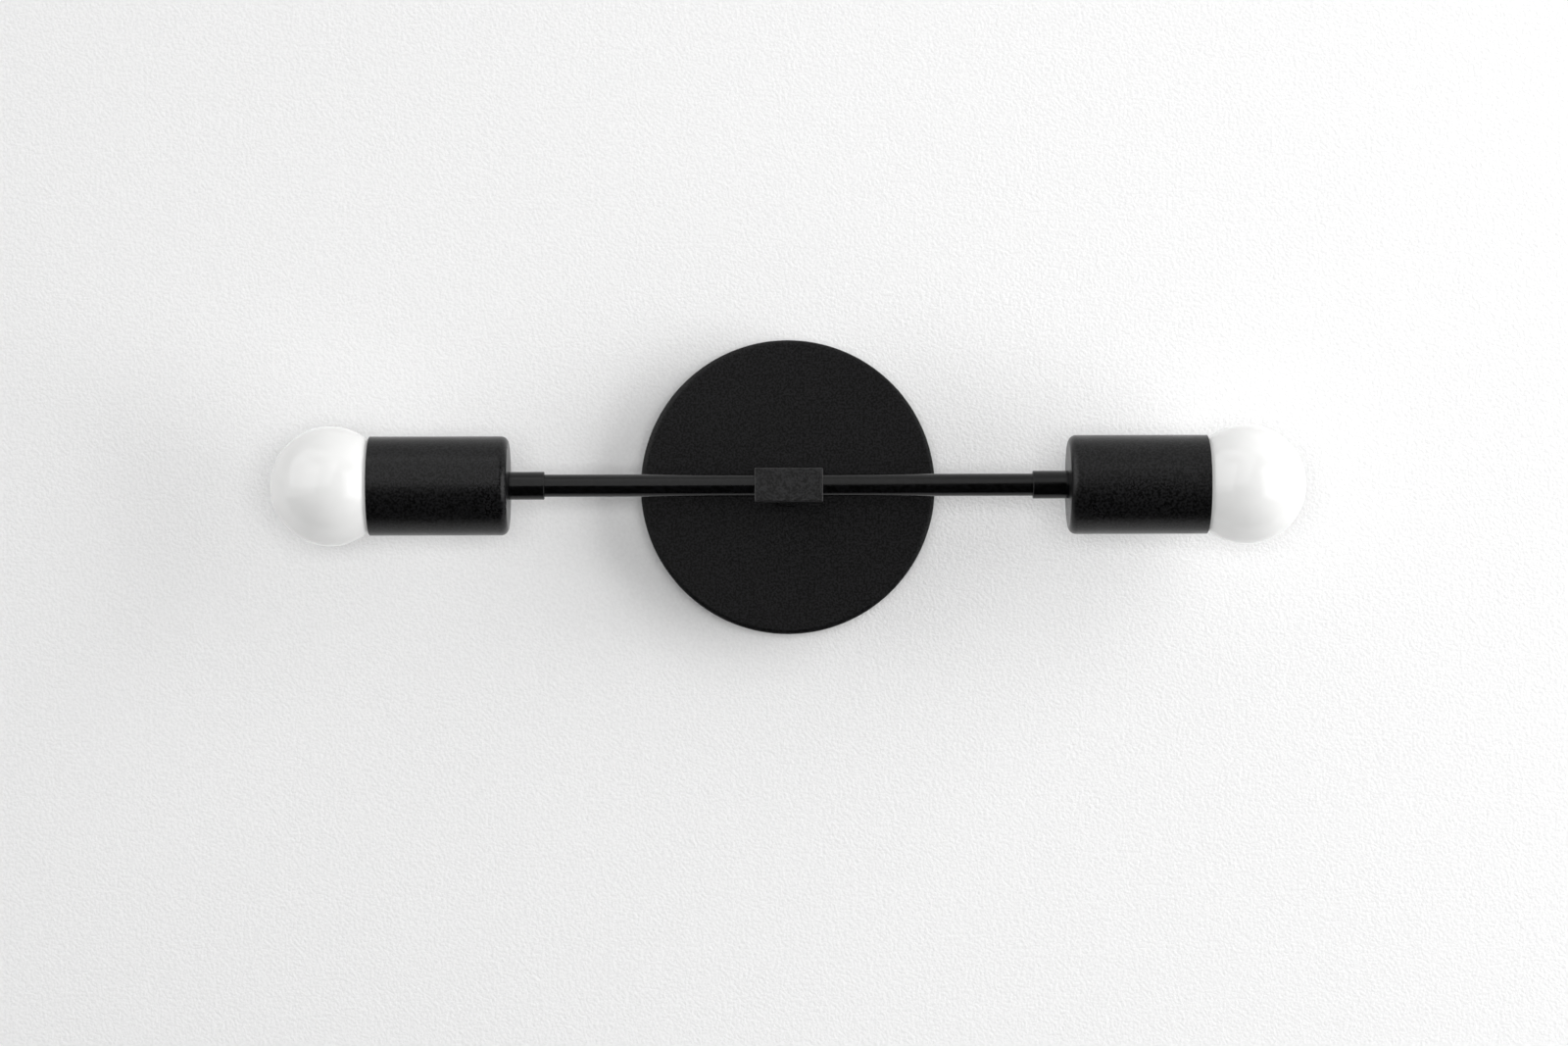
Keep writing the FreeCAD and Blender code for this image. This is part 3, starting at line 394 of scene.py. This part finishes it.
def threadTree():
    tree, given = startTree("threadedWall", {
        "Start": "Float", "Length": "Float", "Radius": "Float", "Bore": "Float", "Bore Follow": "Float",
        "Pitch": "Float", "Depth": "Float", "Sharpness": "Float", "Run-out": "Float", "Plain End": "Float",
        "Start Share": "Float", "End Share": "Float", "Shoulder": "Float", "Shoulder Drop": "Float",
        "Rows": "Int", "Bore Rows": "Int", "Around": "Int", "Material": "Material"})
    known = {socket.name: socket for socket in given if socket.name}
    sumUp(tree, known, {
        "columns": ("ADD", "Around", 1.0),
        "loop": ("ADD", "Rows", "Bore Rows"),
        "rows": ("ADD", "loop", 1.0)})
    grid = addNode(tree, "GeometryNodeMeshGrid", {}, {
        "Size X": 1.0, "Size Y": 1.0, "Vertices X": known["columns"], "Vertices Y": known["rows"]})
    spot = addNode(tree, "ShaderNodeSeparateXYZ", {}, {0: addNode(tree, "GeometryNodeInputPosition")})
    known["gridX"], known["gridY"] = spot.outputs["X"], spot.outputs["Y"]
    sumUp(tree, known, {
        # each row of the grid is a ring: the outer wall from start to end, then the bore back again
        "turns": ("ADD", "gridX", 0.5),
        "angle": ("MULTIPLY", "turns", 2 * math.pi),
        "rowShare": ("ADD", "gridY", 0.5),
        "rowRaw": ("MULTIPLY_ADD", "rowShare", "loop", 0.5),
        "rowWhole": ("FLOOR", "rowRaw"),
        "row": ("MODULO", "rowWhole", "loop"),
        "lastOuter": ("SUBTRACT", "Rows", 0.5),
        "inside": ("GREATER_THAN", "row", "lastOuter"),
        "outerSteps": ("SUBTRACT", "Rows", 1.0),
        "outerShare": ("DIVIDE", "row", "outerSteps"),
        "boreSteps": ("SUBTRACT", "Bore Rows", 1.0),
        "boreRow": ("SUBTRACT", "row", "Rows"),
        "boreDone": ("DIVIDE", "boreRow", "boreSteps"),
        "boreShare": ("SUBTRACT", 1.0, "boreDone"),
        "shareStep": ("SUBTRACT", "boreShare", "outerShare"),
        "share": ("MULTIPLY_ADD", "shareStep", "inside", "outerShare"),
        "distance": ("MULTIPLY", "share", "Length"),
        "place": ("ADD", "Start", "distance"),
        # the thread climbs one pitch in each turn
        "climb": ("DIVIDE", "place", "Pitch"),
        "phase": ("SUBTRACT", "climb", "turns"),
        "phaseAngle": ("MULTIPLY", "phase", 2 * math.pi),
        "cosine": ("COSINE", "phaseAngle"),
        "roundWave": ("MULTIPLY_ADD", "cosine", 0.5, 0.5),
        "zigzag": ("PINGPONG", "phase", 0.5),
        "sharpWave": ("MULTIPLY_ADD", "zigzag", -2.0, 1.0),
        "waveStep": ("SUBTRACT", "sharpWave", "roundWave"),
        "wave": ("MULTIPLY_ADD", "waveStep", "Sharpness", "roundWave"),
        # it fades to a plain wall near both ends
        "left": ("SUBTRACT", "Length", "distance"),
        "threadLeft": ("SUBTRACT", "left", "Plain End"),
        "nearest": ("MINIMUM", "distance", "threadLeft"),
        "fadeRaw": ("DIVIDE", "nearest", "Run-out"),
        "fadeLow": ("MAXIMUM", "fadeRaw", 0.0),
        "fade": ("MINIMUM", "fadeLow", 1.0),
        "nearStart": ("LESS_THAN", "distance", "left"),
        "endStep": ("SUBTRACT", "Start Share", "End Share"),
        "plain": ("MULTIPLY_ADD", "endStep", "nearStart", "End Share"),
        "levelStep": ("SUBTRACT", "wave", "plain"),
        "level": ("MULTIPLY_ADD", "levelStep", "fade", "plain"),
        "lack": ("SUBTRACT", 1.0, "level"),
        "sunkThread": ("MULTIPLY", "lack", "Depth"),
        "slopeRaw": ("DIVIDE", "distance", "Shoulder"),
        "slope": ("MINIMUM", "slopeRaw", 1.0),
        "lowness": ("SUBTRACT", 1.0, "slope"),
        "sunk": ("MULTIPLY_ADD", "lowness", "Shoulder Drop", "sunkThread"),
        "outer": ("SUBTRACT", "Radius", "sunk"),
        "boreSunk": ("MULTIPLY", "sunk", "Bore Follow"),
        "bore": ("SUBTRACT", "Bore", "boreSunk"),
        "radiusStep": ("SUBTRACT", "bore", "outer"),
        "radius": ("MULTIPLY_ADD", "radiusStep", "inside", "outer"),
        "cosAngle": ("COSINE", "angle"),
        "sinAngle": ("SINE", "angle"),
        "across": ("MULTIPLY", "radius", "cosAngle"),
        "up": ("MULTIPLY", "radius", "sinAngle")})
    position = addNode(tree, "ShaderNodeCombineXYZ", {}, {
        "X": known["place"], "Y": known["across"], "Z": known["up"]})
    wall = addNode(tree, "GeometryNodeSetPosition", {}, {"Geometry": grid, "Position": position})
    # the grid's borders meet and are joined; on the axis of a solid bar that leaves edges without a
    # face, which go
    closed = addNode(tree, "GeometryNodeMergeByDistance", {}, {"Geometry": wall, "Distance": 0.001 * mm})
    faces = addNode(tree, "GeometryNodeInputMeshEdgeNeighbors")
    bare = addNode(tree, "FunctionNodeCompare", {"data_type": "INT", "operation": "EQUAL"}, {2: faces, 3: 0})
    clean = addNode(tree, "GeometryNodeDeleteGeometry", {"domain": "EDGE"}, {
        "Geometry": closed, "Selection": bare})
    smooth = addNode(tree, "GeometryNodeSetShadeSmooth", {}, {"Geometry": clean})
    endTree(tree, smooth, given["Material"])
    return tree


threads = threadTree()


def threadedWall(sizes, material):
    # a size that isn't given leaves its feature out
    plainSizes = {
        "Bore Follow": 0.0, "Sharpness": 0.0, "Plain End": 0.0, "Start Share": 0.0, "End Share": 0.0,
        "Shoulder": 1.0, "Shoulder Drop": 0.0}
    mesh = grow(threads, bpy.data.meshes.new("empty"), {**plainSizes, **sizes, "Material": material})
    mesh.set_sharp_from_angle(angle=sharpFrom["threaded"])
    return mesh


# Bulbs: threaded cap, solder bead and blown opal globe
bulb = {
    "capStart": 148.6 * mm, "capEnd": 170.0 * mm, "capRadius": 13.025 * mm, "sheet": 0.35 * mm,
    "shoulder": 2.4 * mm, "skirt": 3.0 * mm, "capPitch": inch / 7, "threadDepth": 0.85 * mm,
    "runOut": 1.6 * mm, "capRows": 72, "capSteps": 84,
    "neckRadius": 12.395 * mm, "neckStart": 158.0 * mm, "neckFillet": 3.0 * mm, "neckRings": 8,
    "globeCentre": 193.97 * mm, "globeRadius": 25.39 * mm, "glass": 1.0 * mm, "globeRings": 56,
    "lastRing": 0.5, "globeSteps": 128,
    "beadLength": 2.6 * mm, "beadWidth": 1.7 * mm, "beadHeight": 0.45 * mm, "beadLap": 0.45}


def bulbCap():
    # rolled thread between the shoulder round the contact and the plain skirt at the glass
    return threadedWall({
        "Start": bulb["capStart"], "Length": bulb["capEnd"] - bulb["capStart"], "Radius": bulb["capRadius"],
        "Bore": bulb["capRadius"] - bulb["sheet"], "Bore Follow": 1.0, "Pitch": bulb["capPitch"],
        "Depth": bulb["threadDepth"], "Run-out": bulb["runOut"], "Plain End": bulb["skirt"],
        "End Share": 1.0, "Shoulder": bulb["shoulder"],
        "Shoulder Drop": bulb["shoulder"] - bulb["threadDepth"], "Rows": bulb["capRows"],
        "Bore Rows": bulb["capRows"], "Around": bulb["capSteps"]}, capSheet)


def opalGlobe():
    # the ball and the neck meet in a blown fillet, and the wall is even; the last ring lies half a
    # degree from the pole that closes it
    ball, neck, fillet = bulb["globeRadius"], bulb["neckRadius"], bulb["neckFillet"]
    waist = bulb["globeCentre"] - math.sqrt((ball + fillet) ** 2 - (neck + fillet) ** 2)
    lean = math.degrees(math.asin((neck + fillet) / (ball + fillet)))

    def skin(inward):
        return ([(bulb["neckStart"], neck - inward)]
                + arc((waist, neck + fillet), fillet + inward, -90, -lean, bulb["neckRings"])
                + arc((bulb["globeCentre"], 0), ball - inward, 180 - lean, bulb["lastRing"],
                      bulb["globeRings"])
                + [(bulb["globeCentre"] + ball - inward, 0)])

    return turnedMesh(skin(0)[::-1] + skin(bulb["glass"]), opal, bulb["globeSteps"])


def solderBead():
    # the dot that joins one wire of the bulb to the rim of its cap: a ball squashed to its sizes
    bead = turnedMesh([(-1, 0)] + arc((0, 0), 1, 160, 20, 6) + [(1, 0)], tinSolder, 16)
    bead.transform(Matrix.Diagonal((bulb["beadLength"] / 2, bulb["beadWidth"] / 2, bulb["beadHeight"], 1)))
    middle = bulb["capEnd"] - bulb["beadLength"] * bulb["beadLap"]
    bead.transform(Matrix.Translation((middle, 0, bulb["capRadius"])))
    return bead


for side, place in sides.items():
    body = side + "_bulb"
    settle(side + "ThreadedCap", joined([bulbCap()], place), body, [side + "_bulb_cap"])
    settle(side + "OpalGlobe", joined([opalGlobe()], place), body, [side + "_bulb_globe"])
    settle(side + "SolderBead", joined([solderBead()], place), body, [])
print("bulbs made")


# Filament mount: two support wires spread from the press, with the coil between their ends
filament = {
    "foot": 178.0 * mm, "end": 200.0 * mm, "footSpread": 2.5 * mm, "endSpread": 11.0 * mm,
    "wire": 0.33 * mm, "coil": 0.33 * mm, "coilWire": 0.08 * mm, "coilTurns": 60}


def filamentTree():
    tree, given = startTree("coiledFilament", {
        "Foot": "Vector", "Knee": "Vector", "Wire": "Float", "Coil": "Float", "Coil Wire": "Float",
        "Turns": "Float", "Material": "Material"})
    knee = addNode(tree, "ShaderNodeSeparateXYZ", {}, {0: given["Knee"]})
    span = addNode(tree, "ShaderNodeMath", {"operation": "MULTIPLY"}, {0: knee.outputs["Z"], 1: 2.0})
    down = addNode(tree, "ShaderNodeMath", {"operation": "MULTIPLY"}, {0: knee.outputs["Z"], 1: -1.0})
    support = addNode(tree, "GeometryNodeCurvePrimitiveLine", {}, {
        "Start": given["Foot"], "End": given["Knee"]})
    flip = addNode(tree, "GeometryNodeTransform", {}, {"Geometry": support, "Rotation": (math.pi, 0, 0)})
    coil = addNode(tree, "GeometryNodeCurveSpiral", {}, {
        "Resolution": 12, "Rotations": given["Turns"], "Start Radius": given["Coil"],
        "End Radius": given["Coil"], "Height": span})
    corner = addNode(tree, "ShaderNodeCombineXYZ", {}, {"X": knee.outputs["X"], "Z": down})
    hung = addNode(tree, "GeometryNodeTransform", {}, {"Geometry": coil, "Translation": corner})
    rod = addNode(tree, "GeometryNodeCurvePrimitiveCircle", {}, {"Resolution": 10, "Radius": given["Wire"]})
    thread = addNode(tree, "GeometryNodeCurvePrimitiveCircle", {}, {
        "Resolution": 6, "Radius": given["Coil Wire"]})
    both = addNode(tree, "GeometryNodeJoinGeometry")
    tree.links.new(flip.outputs[0], both.inputs[0])
    tree.links.new(support.outputs[0], both.inputs[0])
    wires = addNode(tree, "GeometryNodeCurveToMesh", {}, {
        "Curve": both, "Profile Curve": rod, "Fill Caps": True})
    wound = addNode(tree, "GeometryNodeCurveToMesh", {}, {
        "Curve": hung, "Profile Curve": thread, "Fill Caps": True})
    whole = addNode(tree, "GeometryNodeJoinGeometry")
    tree.links.new(wires.outputs[0], whole.inputs[0])
    tree.links.new(wound.outputs[0], whole.inputs[0])
    endTree(tree, whole, given["Material"])
    return tree


coiledFilament = grow(filamentTree(), bpy.data.meshes.new("empty"), {
    "Foot": (filament["foot"], 0, filament["footSpread"]),
    "Knee": (filament["end"], 0, filament["endSpread"]), "Wire": filament["wire"],
    "Coil": filament["coil"], "Coil Wire": filament["coilWire"], "Turns": float(filament["coilTurns"]),
    "Material": drawnWire})
for side, place in sides.items():
    settle(side + "CoiledFilament", joined([coiledFilament], place), side + "_bulb",
           [side + "_bulb_filament"])
print("filaments wound")


# Screw shells: the cap's own thread pressed into thin sheet, with a flange and a tab for the lead
shell = {
    "start": 139.5 * mm, "end": 165.5 * mm, "radius": 13.725 * mm, "bore": 13.325 * mm,
    "flangeBore": 8.825 * mm, "sheet": 0.4 * mm, "tabWidth": 3.0 * mm, "tabTop": 2.45 * mm,
    "leadEnd": 135.8 * mm, "leadTop": 0.75 * mm, "runOut": 2.0 * mm, "rows": 80, "steps": 84}


def screwShell():
    # threaded wall, flat flange at its foot and tab folded back to the lead
    wall = threadedWall({
        "Start": shell["start"], "Length": shell["end"] - shell["start"], "Radius": shell["radius"],
        "Bore": shell["bore"], "Bore Follow": 1.0, "Pitch": bulb["capPitch"],
        "Depth": bulb["threadDepth"], "Run-out": shell["runOut"], "Start Share": 1.0, "End Share": 1.0,
        "Rows": shell["rows"], "Bore Rows": shell["rows"], "Around": shell["steps"]}, shellSheet)
    under, over = shell["start"], shell["start"] + shell["sheet"]
    hole, rim = shell["flangeBore"], shell["bore"] + shell["sheet"] / 2
    flange = turnedMesh([(under, hole), (under, rim), (over, rim), (over, hole)],
                        shellSheet, shell["steps"], loop=True)
    foot, low = -hole - shell["sheet"], -shell["tabTop"] - shell["sheet"]
    leadBack, leadFront = shell["leadEnd"], shell["leadEnd"] + shell["sheet"]
    tab = bentSheet([
        (under, foot), (over, foot), (over, -shell["tabTop"]), (leadFront, -shell["tabTop"]),
        (leadFront, -shell["leadTop"]), (leadBack, -shell["leadTop"]), (leadBack, low), (under, low)],
        shell["tabWidth"], shellSheet)
    return wall, flange, tab


for side, place in sides.items():
    settle(side + "RolledShell", joined(screwShell(), place), "fixture",
           [side + "_screw_shell"])
print("screw shells rolled")


# Lamp pipes: 1/8 in running thread, 27 turns to the inch, cut all the way along
pipe = {
    "radius": 5.14 * mm, "bore": 3.4 * mm, "pitch": inch / 27, "depth": 0.5 * mm, "steps": 48,
    "cupStart": 110.0 * mm, "cupEnd": 125.6 * mm, "stemStart": 12.3 * mm, "stemEnd": 48.2 * mm}


def lampPipe(start, end):
    rows = round((end - start) / pipe["pitch"] * rowsPerTurn)
    return threadedWall({
        "Start": start, "Length": end - start, "Radius": pipe["radius"], "Bore": pipe["bore"],
        "Pitch": pipe["pitch"], "Depth": pipe["depth"], "Sharpness": 1.0, "Run-out": pipe["pitch"],
        "Rows": rows, "Bore Rows": 2, "Around": pipe["steps"]}, zincPlate)


for side, place in sides.items():
    settle(side + "CupPipe", joined([lampPipe(pipe["cupStart"], pipe["cupEnd"])], place), "fixture",
           [side + "_cup_pipe"])
facingFront = Matrix.Rotation(-math.pi / 2, 4, "Z")
settle("stemPipe", joined([lampPipe(pipe["stemStart"], pipe["stemEnd"])], facingFront), "fixture",
       ["stem_pipe"])
print("lamp pipes threaded")


# Screws: each kind is made once, then set at its places with its head the way that it aims
def screwTree():
    tree, given = startTree("screwSet", {"Screw": "Object", "Material": "Material"})
    pattern = addNode(tree, "GeometryNodeObjectInfo", {}, {"Object": given["Screw"], "As Instance": True})
    aim = addNode(tree, "GeometryNodeInputNamedAttribute", {"data_type": "FLOAT_VECTOR"}, {"Name": "aim"})
    turn = addNode(tree, "FunctionNodeAlignRotationToVector", {"axis": "X"}, {"Vector": aim})
    placed = addNode(tree, "GeometryNodeInstanceOnPoints", {}, {
        "Points": given["Geometry"], "Instance": pattern.outputs["Geometry"], "Rotation": turn})
    endTree(tree, placed, given["Material"])
    return tree


screwSets = screwTree()
screwKinds = {
    "side": {"head": 3.45 * mm, "height": 1.75 * mm, "shank": 2.0 * mm, "length": 6.5 * mm,
             "pitch": 0.8 * mm, "slot": 0.9 * mm},
    "socket": {"head": 2.45 * mm, "height": 1.75 * mm, "shank": 1.5 * mm, "length": 7.0 * mm,
               "pitch": 0.7 * mm, "slot": 0.7 * mm},
    "earth": {"head": 4.0 * mm, "height": 2.55 * mm, "shank": 2.4 * mm, "length": 7.0 * mm,
              "pitch": 0.8 * mm, "slot": 1.1 * mm, "washer": 4.75 * mm, "washerHeight": 0.6 * mm}}
# what the kinds share
screwForm = {
    "washerSteps": 48, "hexChamfer": 0.4 * mm, "hexInset": 0.5 * mm, "hexSlotDepth": 1.2 * mm,
    "domeBand": 0.35, "domePower": 0.6, "domeSteps": 40, "domeSlotShare": 0.5, "bladeReach": 2.4,
    "seatLap": 0.1 * mm, "shankGap": 0.02 * mm, "threadShare": 0.6, "shankSteps": 24}


def cutSlot(head, width, depth, top, radius):
    # takes a straight slot for the driver out of a head
    low, high = top - depth, top + depth
    blade = bentSheet([(low, -width / 2), (high, -width / 2), (high, width / 2), (low, width / 2)],
                      screwForm["bladeReach"] * radius, head.materials[0])
    tool = newObject("blade", blade)
    work = newObject("head", head)
    modifier = work.modifiers.new("slot", "BOOLEAN")
    modifier.operation = "DIFFERENCE"
    modifier.solver = "EXACT"
    modifier.object = tool
    slotted = finalMesh(work)
    bpy.data.objects.remove(tool)
    return slotted


def hexHead(look, material):
    # washer face with a six-sided crown, which starts inside the washer
    radius, height = look["head"], look["height"]
    rim, wide = look["washerHeight"], look["washer"]
    skirt = turnedMesh([(0, 0), (0, wide), (rim, wide), (rim, 0)], material, screwForm["washerSteps"])
    crown = turnedMesh([(rim / 2, 0), (rim / 2, radius), (height - screwForm["hexChamfer"], radius),
                        (height, radius - screwForm["hexInset"]), (height, 0)], material, 6)
    crown.shade_flat()
    return [skirt, cutSlot(crown, look["slot"], screwForm["hexSlotDepth"], height, radius)]


def domeHead(look, material):
    # straight band under a flat-topped dome
    radius, height, band = look["head"], look["height"], screwForm["domeBand"]
    dome = [(0, 0), (0, radius), (height * band, radius)]
    for degrees in range(80, 0, -10):
        lean = math.radians(degrees)
        dome.append((height * (band + (1 - band) * math.cos(lean)),
                     radius * math.sin(lean) ** screwForm["domePower"]))
    dome.append((height, 0))
    head = turnedMesh(dome, material, screwForm["domeSteps"])
    return [cutSlot(head, look["slot"], height * screwForm["domeSlotShare"], height, radius)]


def screwMesh(look, material):
    # head above the seat at x = 0 and threaded shank below it
    parts = hexHead(look, material) if "washer" in look else domeHead(look, material)
    shank = threadedWall({
        "Start": -look["length"], "Length": look["length"] + screwForm["seatLap"],
        "Radius": look["shank"] - screwForm["shankGap"], "Bore": 0.0, "Pitch": look["pitch"],
        "Depth": screwForm["threadShare"] * look["pitch"], "Sharpness": 1.0, "Run-out": look["pitch"],
        "Rows": round(look["length"] / look["pitch"] * rowsPerTurn), "Bore Rows": 2,
        "Around": screwForm["shankSteps"]}, material)
    return joined(parts + [shank])


def setScrews(name, kind, material, replaced, places):
    # places are (seat, aim) pairs; the head points the way of the aim
    pattern = newObject("pattern", screwMesh(screwKinds[kind], material))
    seats = bpy.data.meshes.new("seats")
    seats.from_pydata([seat for seat, aim in places], [], [])
    aims = seats.attributes.new("aim", "FLOAT_VECTOR", "POINT")
    for mark, (seat, aim) in zip(aims.data, places):
        mark.vector = aim
    mesh = grow(screwSets, seats, {"Screw": pattern, "Material": material})
    bpy.data.objects.remove(pattern)
    settle(name, mesh, "fixture", replaced)


screwSeats = {
    "sideReach": 63.5 * mm, "sideDepth": -9.5 * mm, "earthReach": 20 * mm, "earthDepth": -7.3 * mm,
    "socketReach": 130.8 * mm, "socketHeight": 9.75 * mm}
setScrews("slottedSideScrews", "side", tubeCoat, ["side_screws"], [
    ((sign * screwSeats["sideReach"], screwSeats["sideDepth"], 0), (sign, 0, 0)) for sign in (1, -1)])
setScrews("hexEarthScrew", "earth", greenPassivate, ["earth_screw"], [
    ((screwSeats["earthReach"], screwSeats["earthDepth"], 0), (0, -1, 0))])
setScrews("slottedSocketScrews", "socket", zincPlate, ["socket_screws"], [
    ((sign * screwSeats["socketReach"], armDepth, up * screwSeats["socketHeight"]), (-sign, 0, 0))
    for sign in (1, -1) for up in (1, -1)])
print("screws set")


# Room: stippled white wall with the outlet box's hole, plain pale floor
room = {
    "wallPlane": 0.3 * mm, "boxHole": 60 * mm, "wallHalf": 1.6, "floorHeight": -0.62, "floorDepth": 1.25,
    "stipple": 1.3 * mm, "stippleDepth": 0.33 * mm, "holeSteps": 64}


def clearFromBehind(tree, paint):
    # ends a one-sided paint: from its back it lets the eye through, so that the back of the light can
    # be looked at
    behind = addNode(tree, "ShaderNodeNewGeometry").outputs["Backfacing"]
    seen = addNode(tree, "ShaderNodeLightPath").outputs["Is Camera Ray"]
    through = addNode(tree, "ShaderNodeMath", {"operation": "MULTIPLY"}, {0: behind, 1: seen})
    clear = addNode(tree, "ShaderNodeBsdfTransparent")
    mixed = addNode(tree, "ShaderNodeMixShader", {}, {0: through, 1: paint, 2: clear})
    addNode(tree, "ShaderNodeOutputMaterial", {}, {"Surface": mixed})


def wallPaint():
    # roller-stippled emulsion: matt white with a fine soft orange peel
    material, tree, place = startMaterial("rolledEmulsion")
    peel = addNode(tree, "ShaderNodeTexNoise", {}, {
        "Vector": place, "Scale": 1 / room["stipple"], "Detail": 3.0})
    colour = addNode(tree, "ShaderNodeValToRGB", {
        "stops": [(0.3, "#EAEAEA"), (0.7, "#F0F0F0")]}, {"Fac": peel})
    bump = addNode(tree, "ShaderNodeBump", {}, {"Height": peel, "Distance": room["stippleDepth"]})
    paint = addNode(tree, "ShaderNodeBsdfPrincipled", {}, {
        "Base Color": colour, "Roughness": 0.75, "Normal": bump, "Specular IOR Level": 0.3})
    clearFromBehind(tree, paint)
    return material


def floorPaint():
    # plain pale sealed floor: dull, with a slow drift of its tone
    material, tree, place = startMaterial("paleFloor")
    cloud = addNode(tree, "ShaderNodeTexNoise", {}, {"Vector": place, "Scale": 1 / (120 * mm)})
    colour = addNode(tree, "ShaderNodeValToRGB", {
        "stops": [(0.3, "#D6D5D3"), (0.7, "#DCDBD9")]}, {"Fac": cloud})
    paint = addNode(tree, "ShaderNodeBsdfPrincipled", {}, {"Base Color": colour, "Roughness": 0.7})
    clearFromBehind(tree, paint)
    return material


def stageMesh(name, corners, faces, material):
    # a surface of the room, which isn't part of the model
    mesh = bpy.data.meshes.new(name)
    mesh.from_pydata(corners, [], faces)
    mesh.materials.append(material)
    thing = newObject(name, mesh)
    return thing


# the wall spans from the round hole out to its square edge; the floor is only there to be seen, and
# neither shades the wall nor shows in a gloss
around = room["holeSteps"]
ring, rim = [], []
for step in range(around):
    angle = 2 * math.pi * (step + 0.5) / around
    east, north = math.cos(angle), math.sin(angle)
    reach = room["wallHalf"] / max(abs(east), abs(north))
    ring.append((room["boxHole"] * east, room["wallPlane"], room["boxHole"] * north))
    rim.append((reach * east, room["wallPlane"], reach * north))
wallFaces = [(step, around + step, around + (step + 1) % around, (step + 1) % around)
             for step in range(around)]
stageMesh("wall", ring + rim, wallFaces, wallPaint())
half, low, deep = room["wallHalf"], room["floorHeight"], -room["floorDepth"]
floor = stageMesh("floor", [(-half, 0, low), (-half, deep, low), (half, deep, low), (half, 0, low)],
                  [(0, 1, 2, 3)], floorPaint())
floor.visible_glossy = False
floor.visible_diffuse = False
floor.visible_shadow = False
print("room built")


# Camera: fitted to the photograph, whose frame is 1600 x 1067
view = {
    "place": (-17.05 * mm, -1774.11 * mm, -41.37 * mm), "yaw": -0.5006, "pitch": 0.8436, "roll": 0.144,
    "lens": 93.41, "sensor": 36.0}
lensData = bpy.data.cameras.new("camera")
lensData.lens = view["lens"]
lensData.sensor_width = view["sensor"]
camera = newObject("camera", lensData)
aimed = Matrix.Translation(view["place"])
for degrees, axis in ((view["yaw"], "Z"), (view["pitch"], "X"), (view["roll"], "Y"), (90, "X")):
    aimed = aimed @ Matrix.Rotation(math.radians(degrees), 4, axis)
camera.matrix_world = aimed
bpy.context.scene.camera = camera


# Light: a tall soft window to the right of the viewer, with pale fills from the front, the left and
# above. They light the paint but show in no gloss, where dim cards stand for the window, the room and
# its ceiling instead. The lamp behind the wall serves the views of the back.
lamps = {
    "window": {"across": 56, "up": 8, "size": (1.0, 2.9), "power": 36, "lights": "paint"},
    "windowSide": {"across": 77, "up": 8, "size": (0.8, 3.4), "power": 43, "lights": "paint"},
    "windowCore": {"across": 58, "up": 1, "size": (2.0, 1.8), "power": 22, "lights": "gloss"},
    "windowGlow": {"across": 58, "up": 2, "size": (2.9, 2.5), "power": 28, "lights": "gloss"},
    "fillFront": {"across": 1, "up": 0, "size": (1.2, 0.6), "power": 21.5, "lights": "paint"},
    "fillWide": {"across": 0, "up": 8, "size": (2.8, 2.4), "power": 6, "lights": "paint"},
    "fillLeft": {"across": -74, "up": 4, "size": (1.0, 3.4), "power": 23, "lights": "paint"},
    "fillTop": {"across": 5, "up": 62, "size": (3.6, 1.6), "power": 10.5, "lights": "paint"},
    "roomFront": {"across": -38, "up": 32, "size": (4.2, 3.2), "power": 58, "lights": "gloss"},
    "roomLeft": {"across": -62, "up": 14, "size": (3.4, 2.6), "power": 38, "lights": "gloss"},
    "ceiling": {"across": 0, "up": 88, "size": (5.0, 2.6), "power": 40, "lights": "gloss"},
    "behind": {"across": 158, "up": 24, "size": (2.2, 2.2), "power": 42, "lights": "paint and gloss"}}
lampDistance = 2.3
for name, look in lamps.items():
    across, up = math.radians(look["across"]), math.radians(look["up"])
    toward = Vector((math.sin(across) * math.cos(up), -math.cos(across) * math.cos(up), math.sin(up)))
    glow = bpy.data.lights.new(name, "AREA")
    glow.shape = "RECTANGLE"
    glow.size, glow.size_y = look["size"]
    glow.energy = look["power"]
    lamp = newObject(name, glow)
    lamp.rotation_euler = (-toward).to_track_quat("-Z", "Y").to_euler()
    lamp.location = toward * lampDistance
    lamp.visible_camera = False
    lamp.visible_diffuse = "paint" in look["lights"]
    lamp.visible_glossy = "gloss" in look["lights"]

sky = bpy.data.worlds.new("paleRoom")
sky.use_nodes = True
sky.node_tree.nodes["Background"].inputs["Color"].default_value = linearColour("#D9D9D8")
for kind in ("diffuse", "glossy", "transmission", "scatter"):
    setattr(sky.cycles_visibility, kind, False)
bpy.context.scene.world = sky
bpy.context.scene.view_settings.view_transform = "Standard"
print("camera and lights placed")
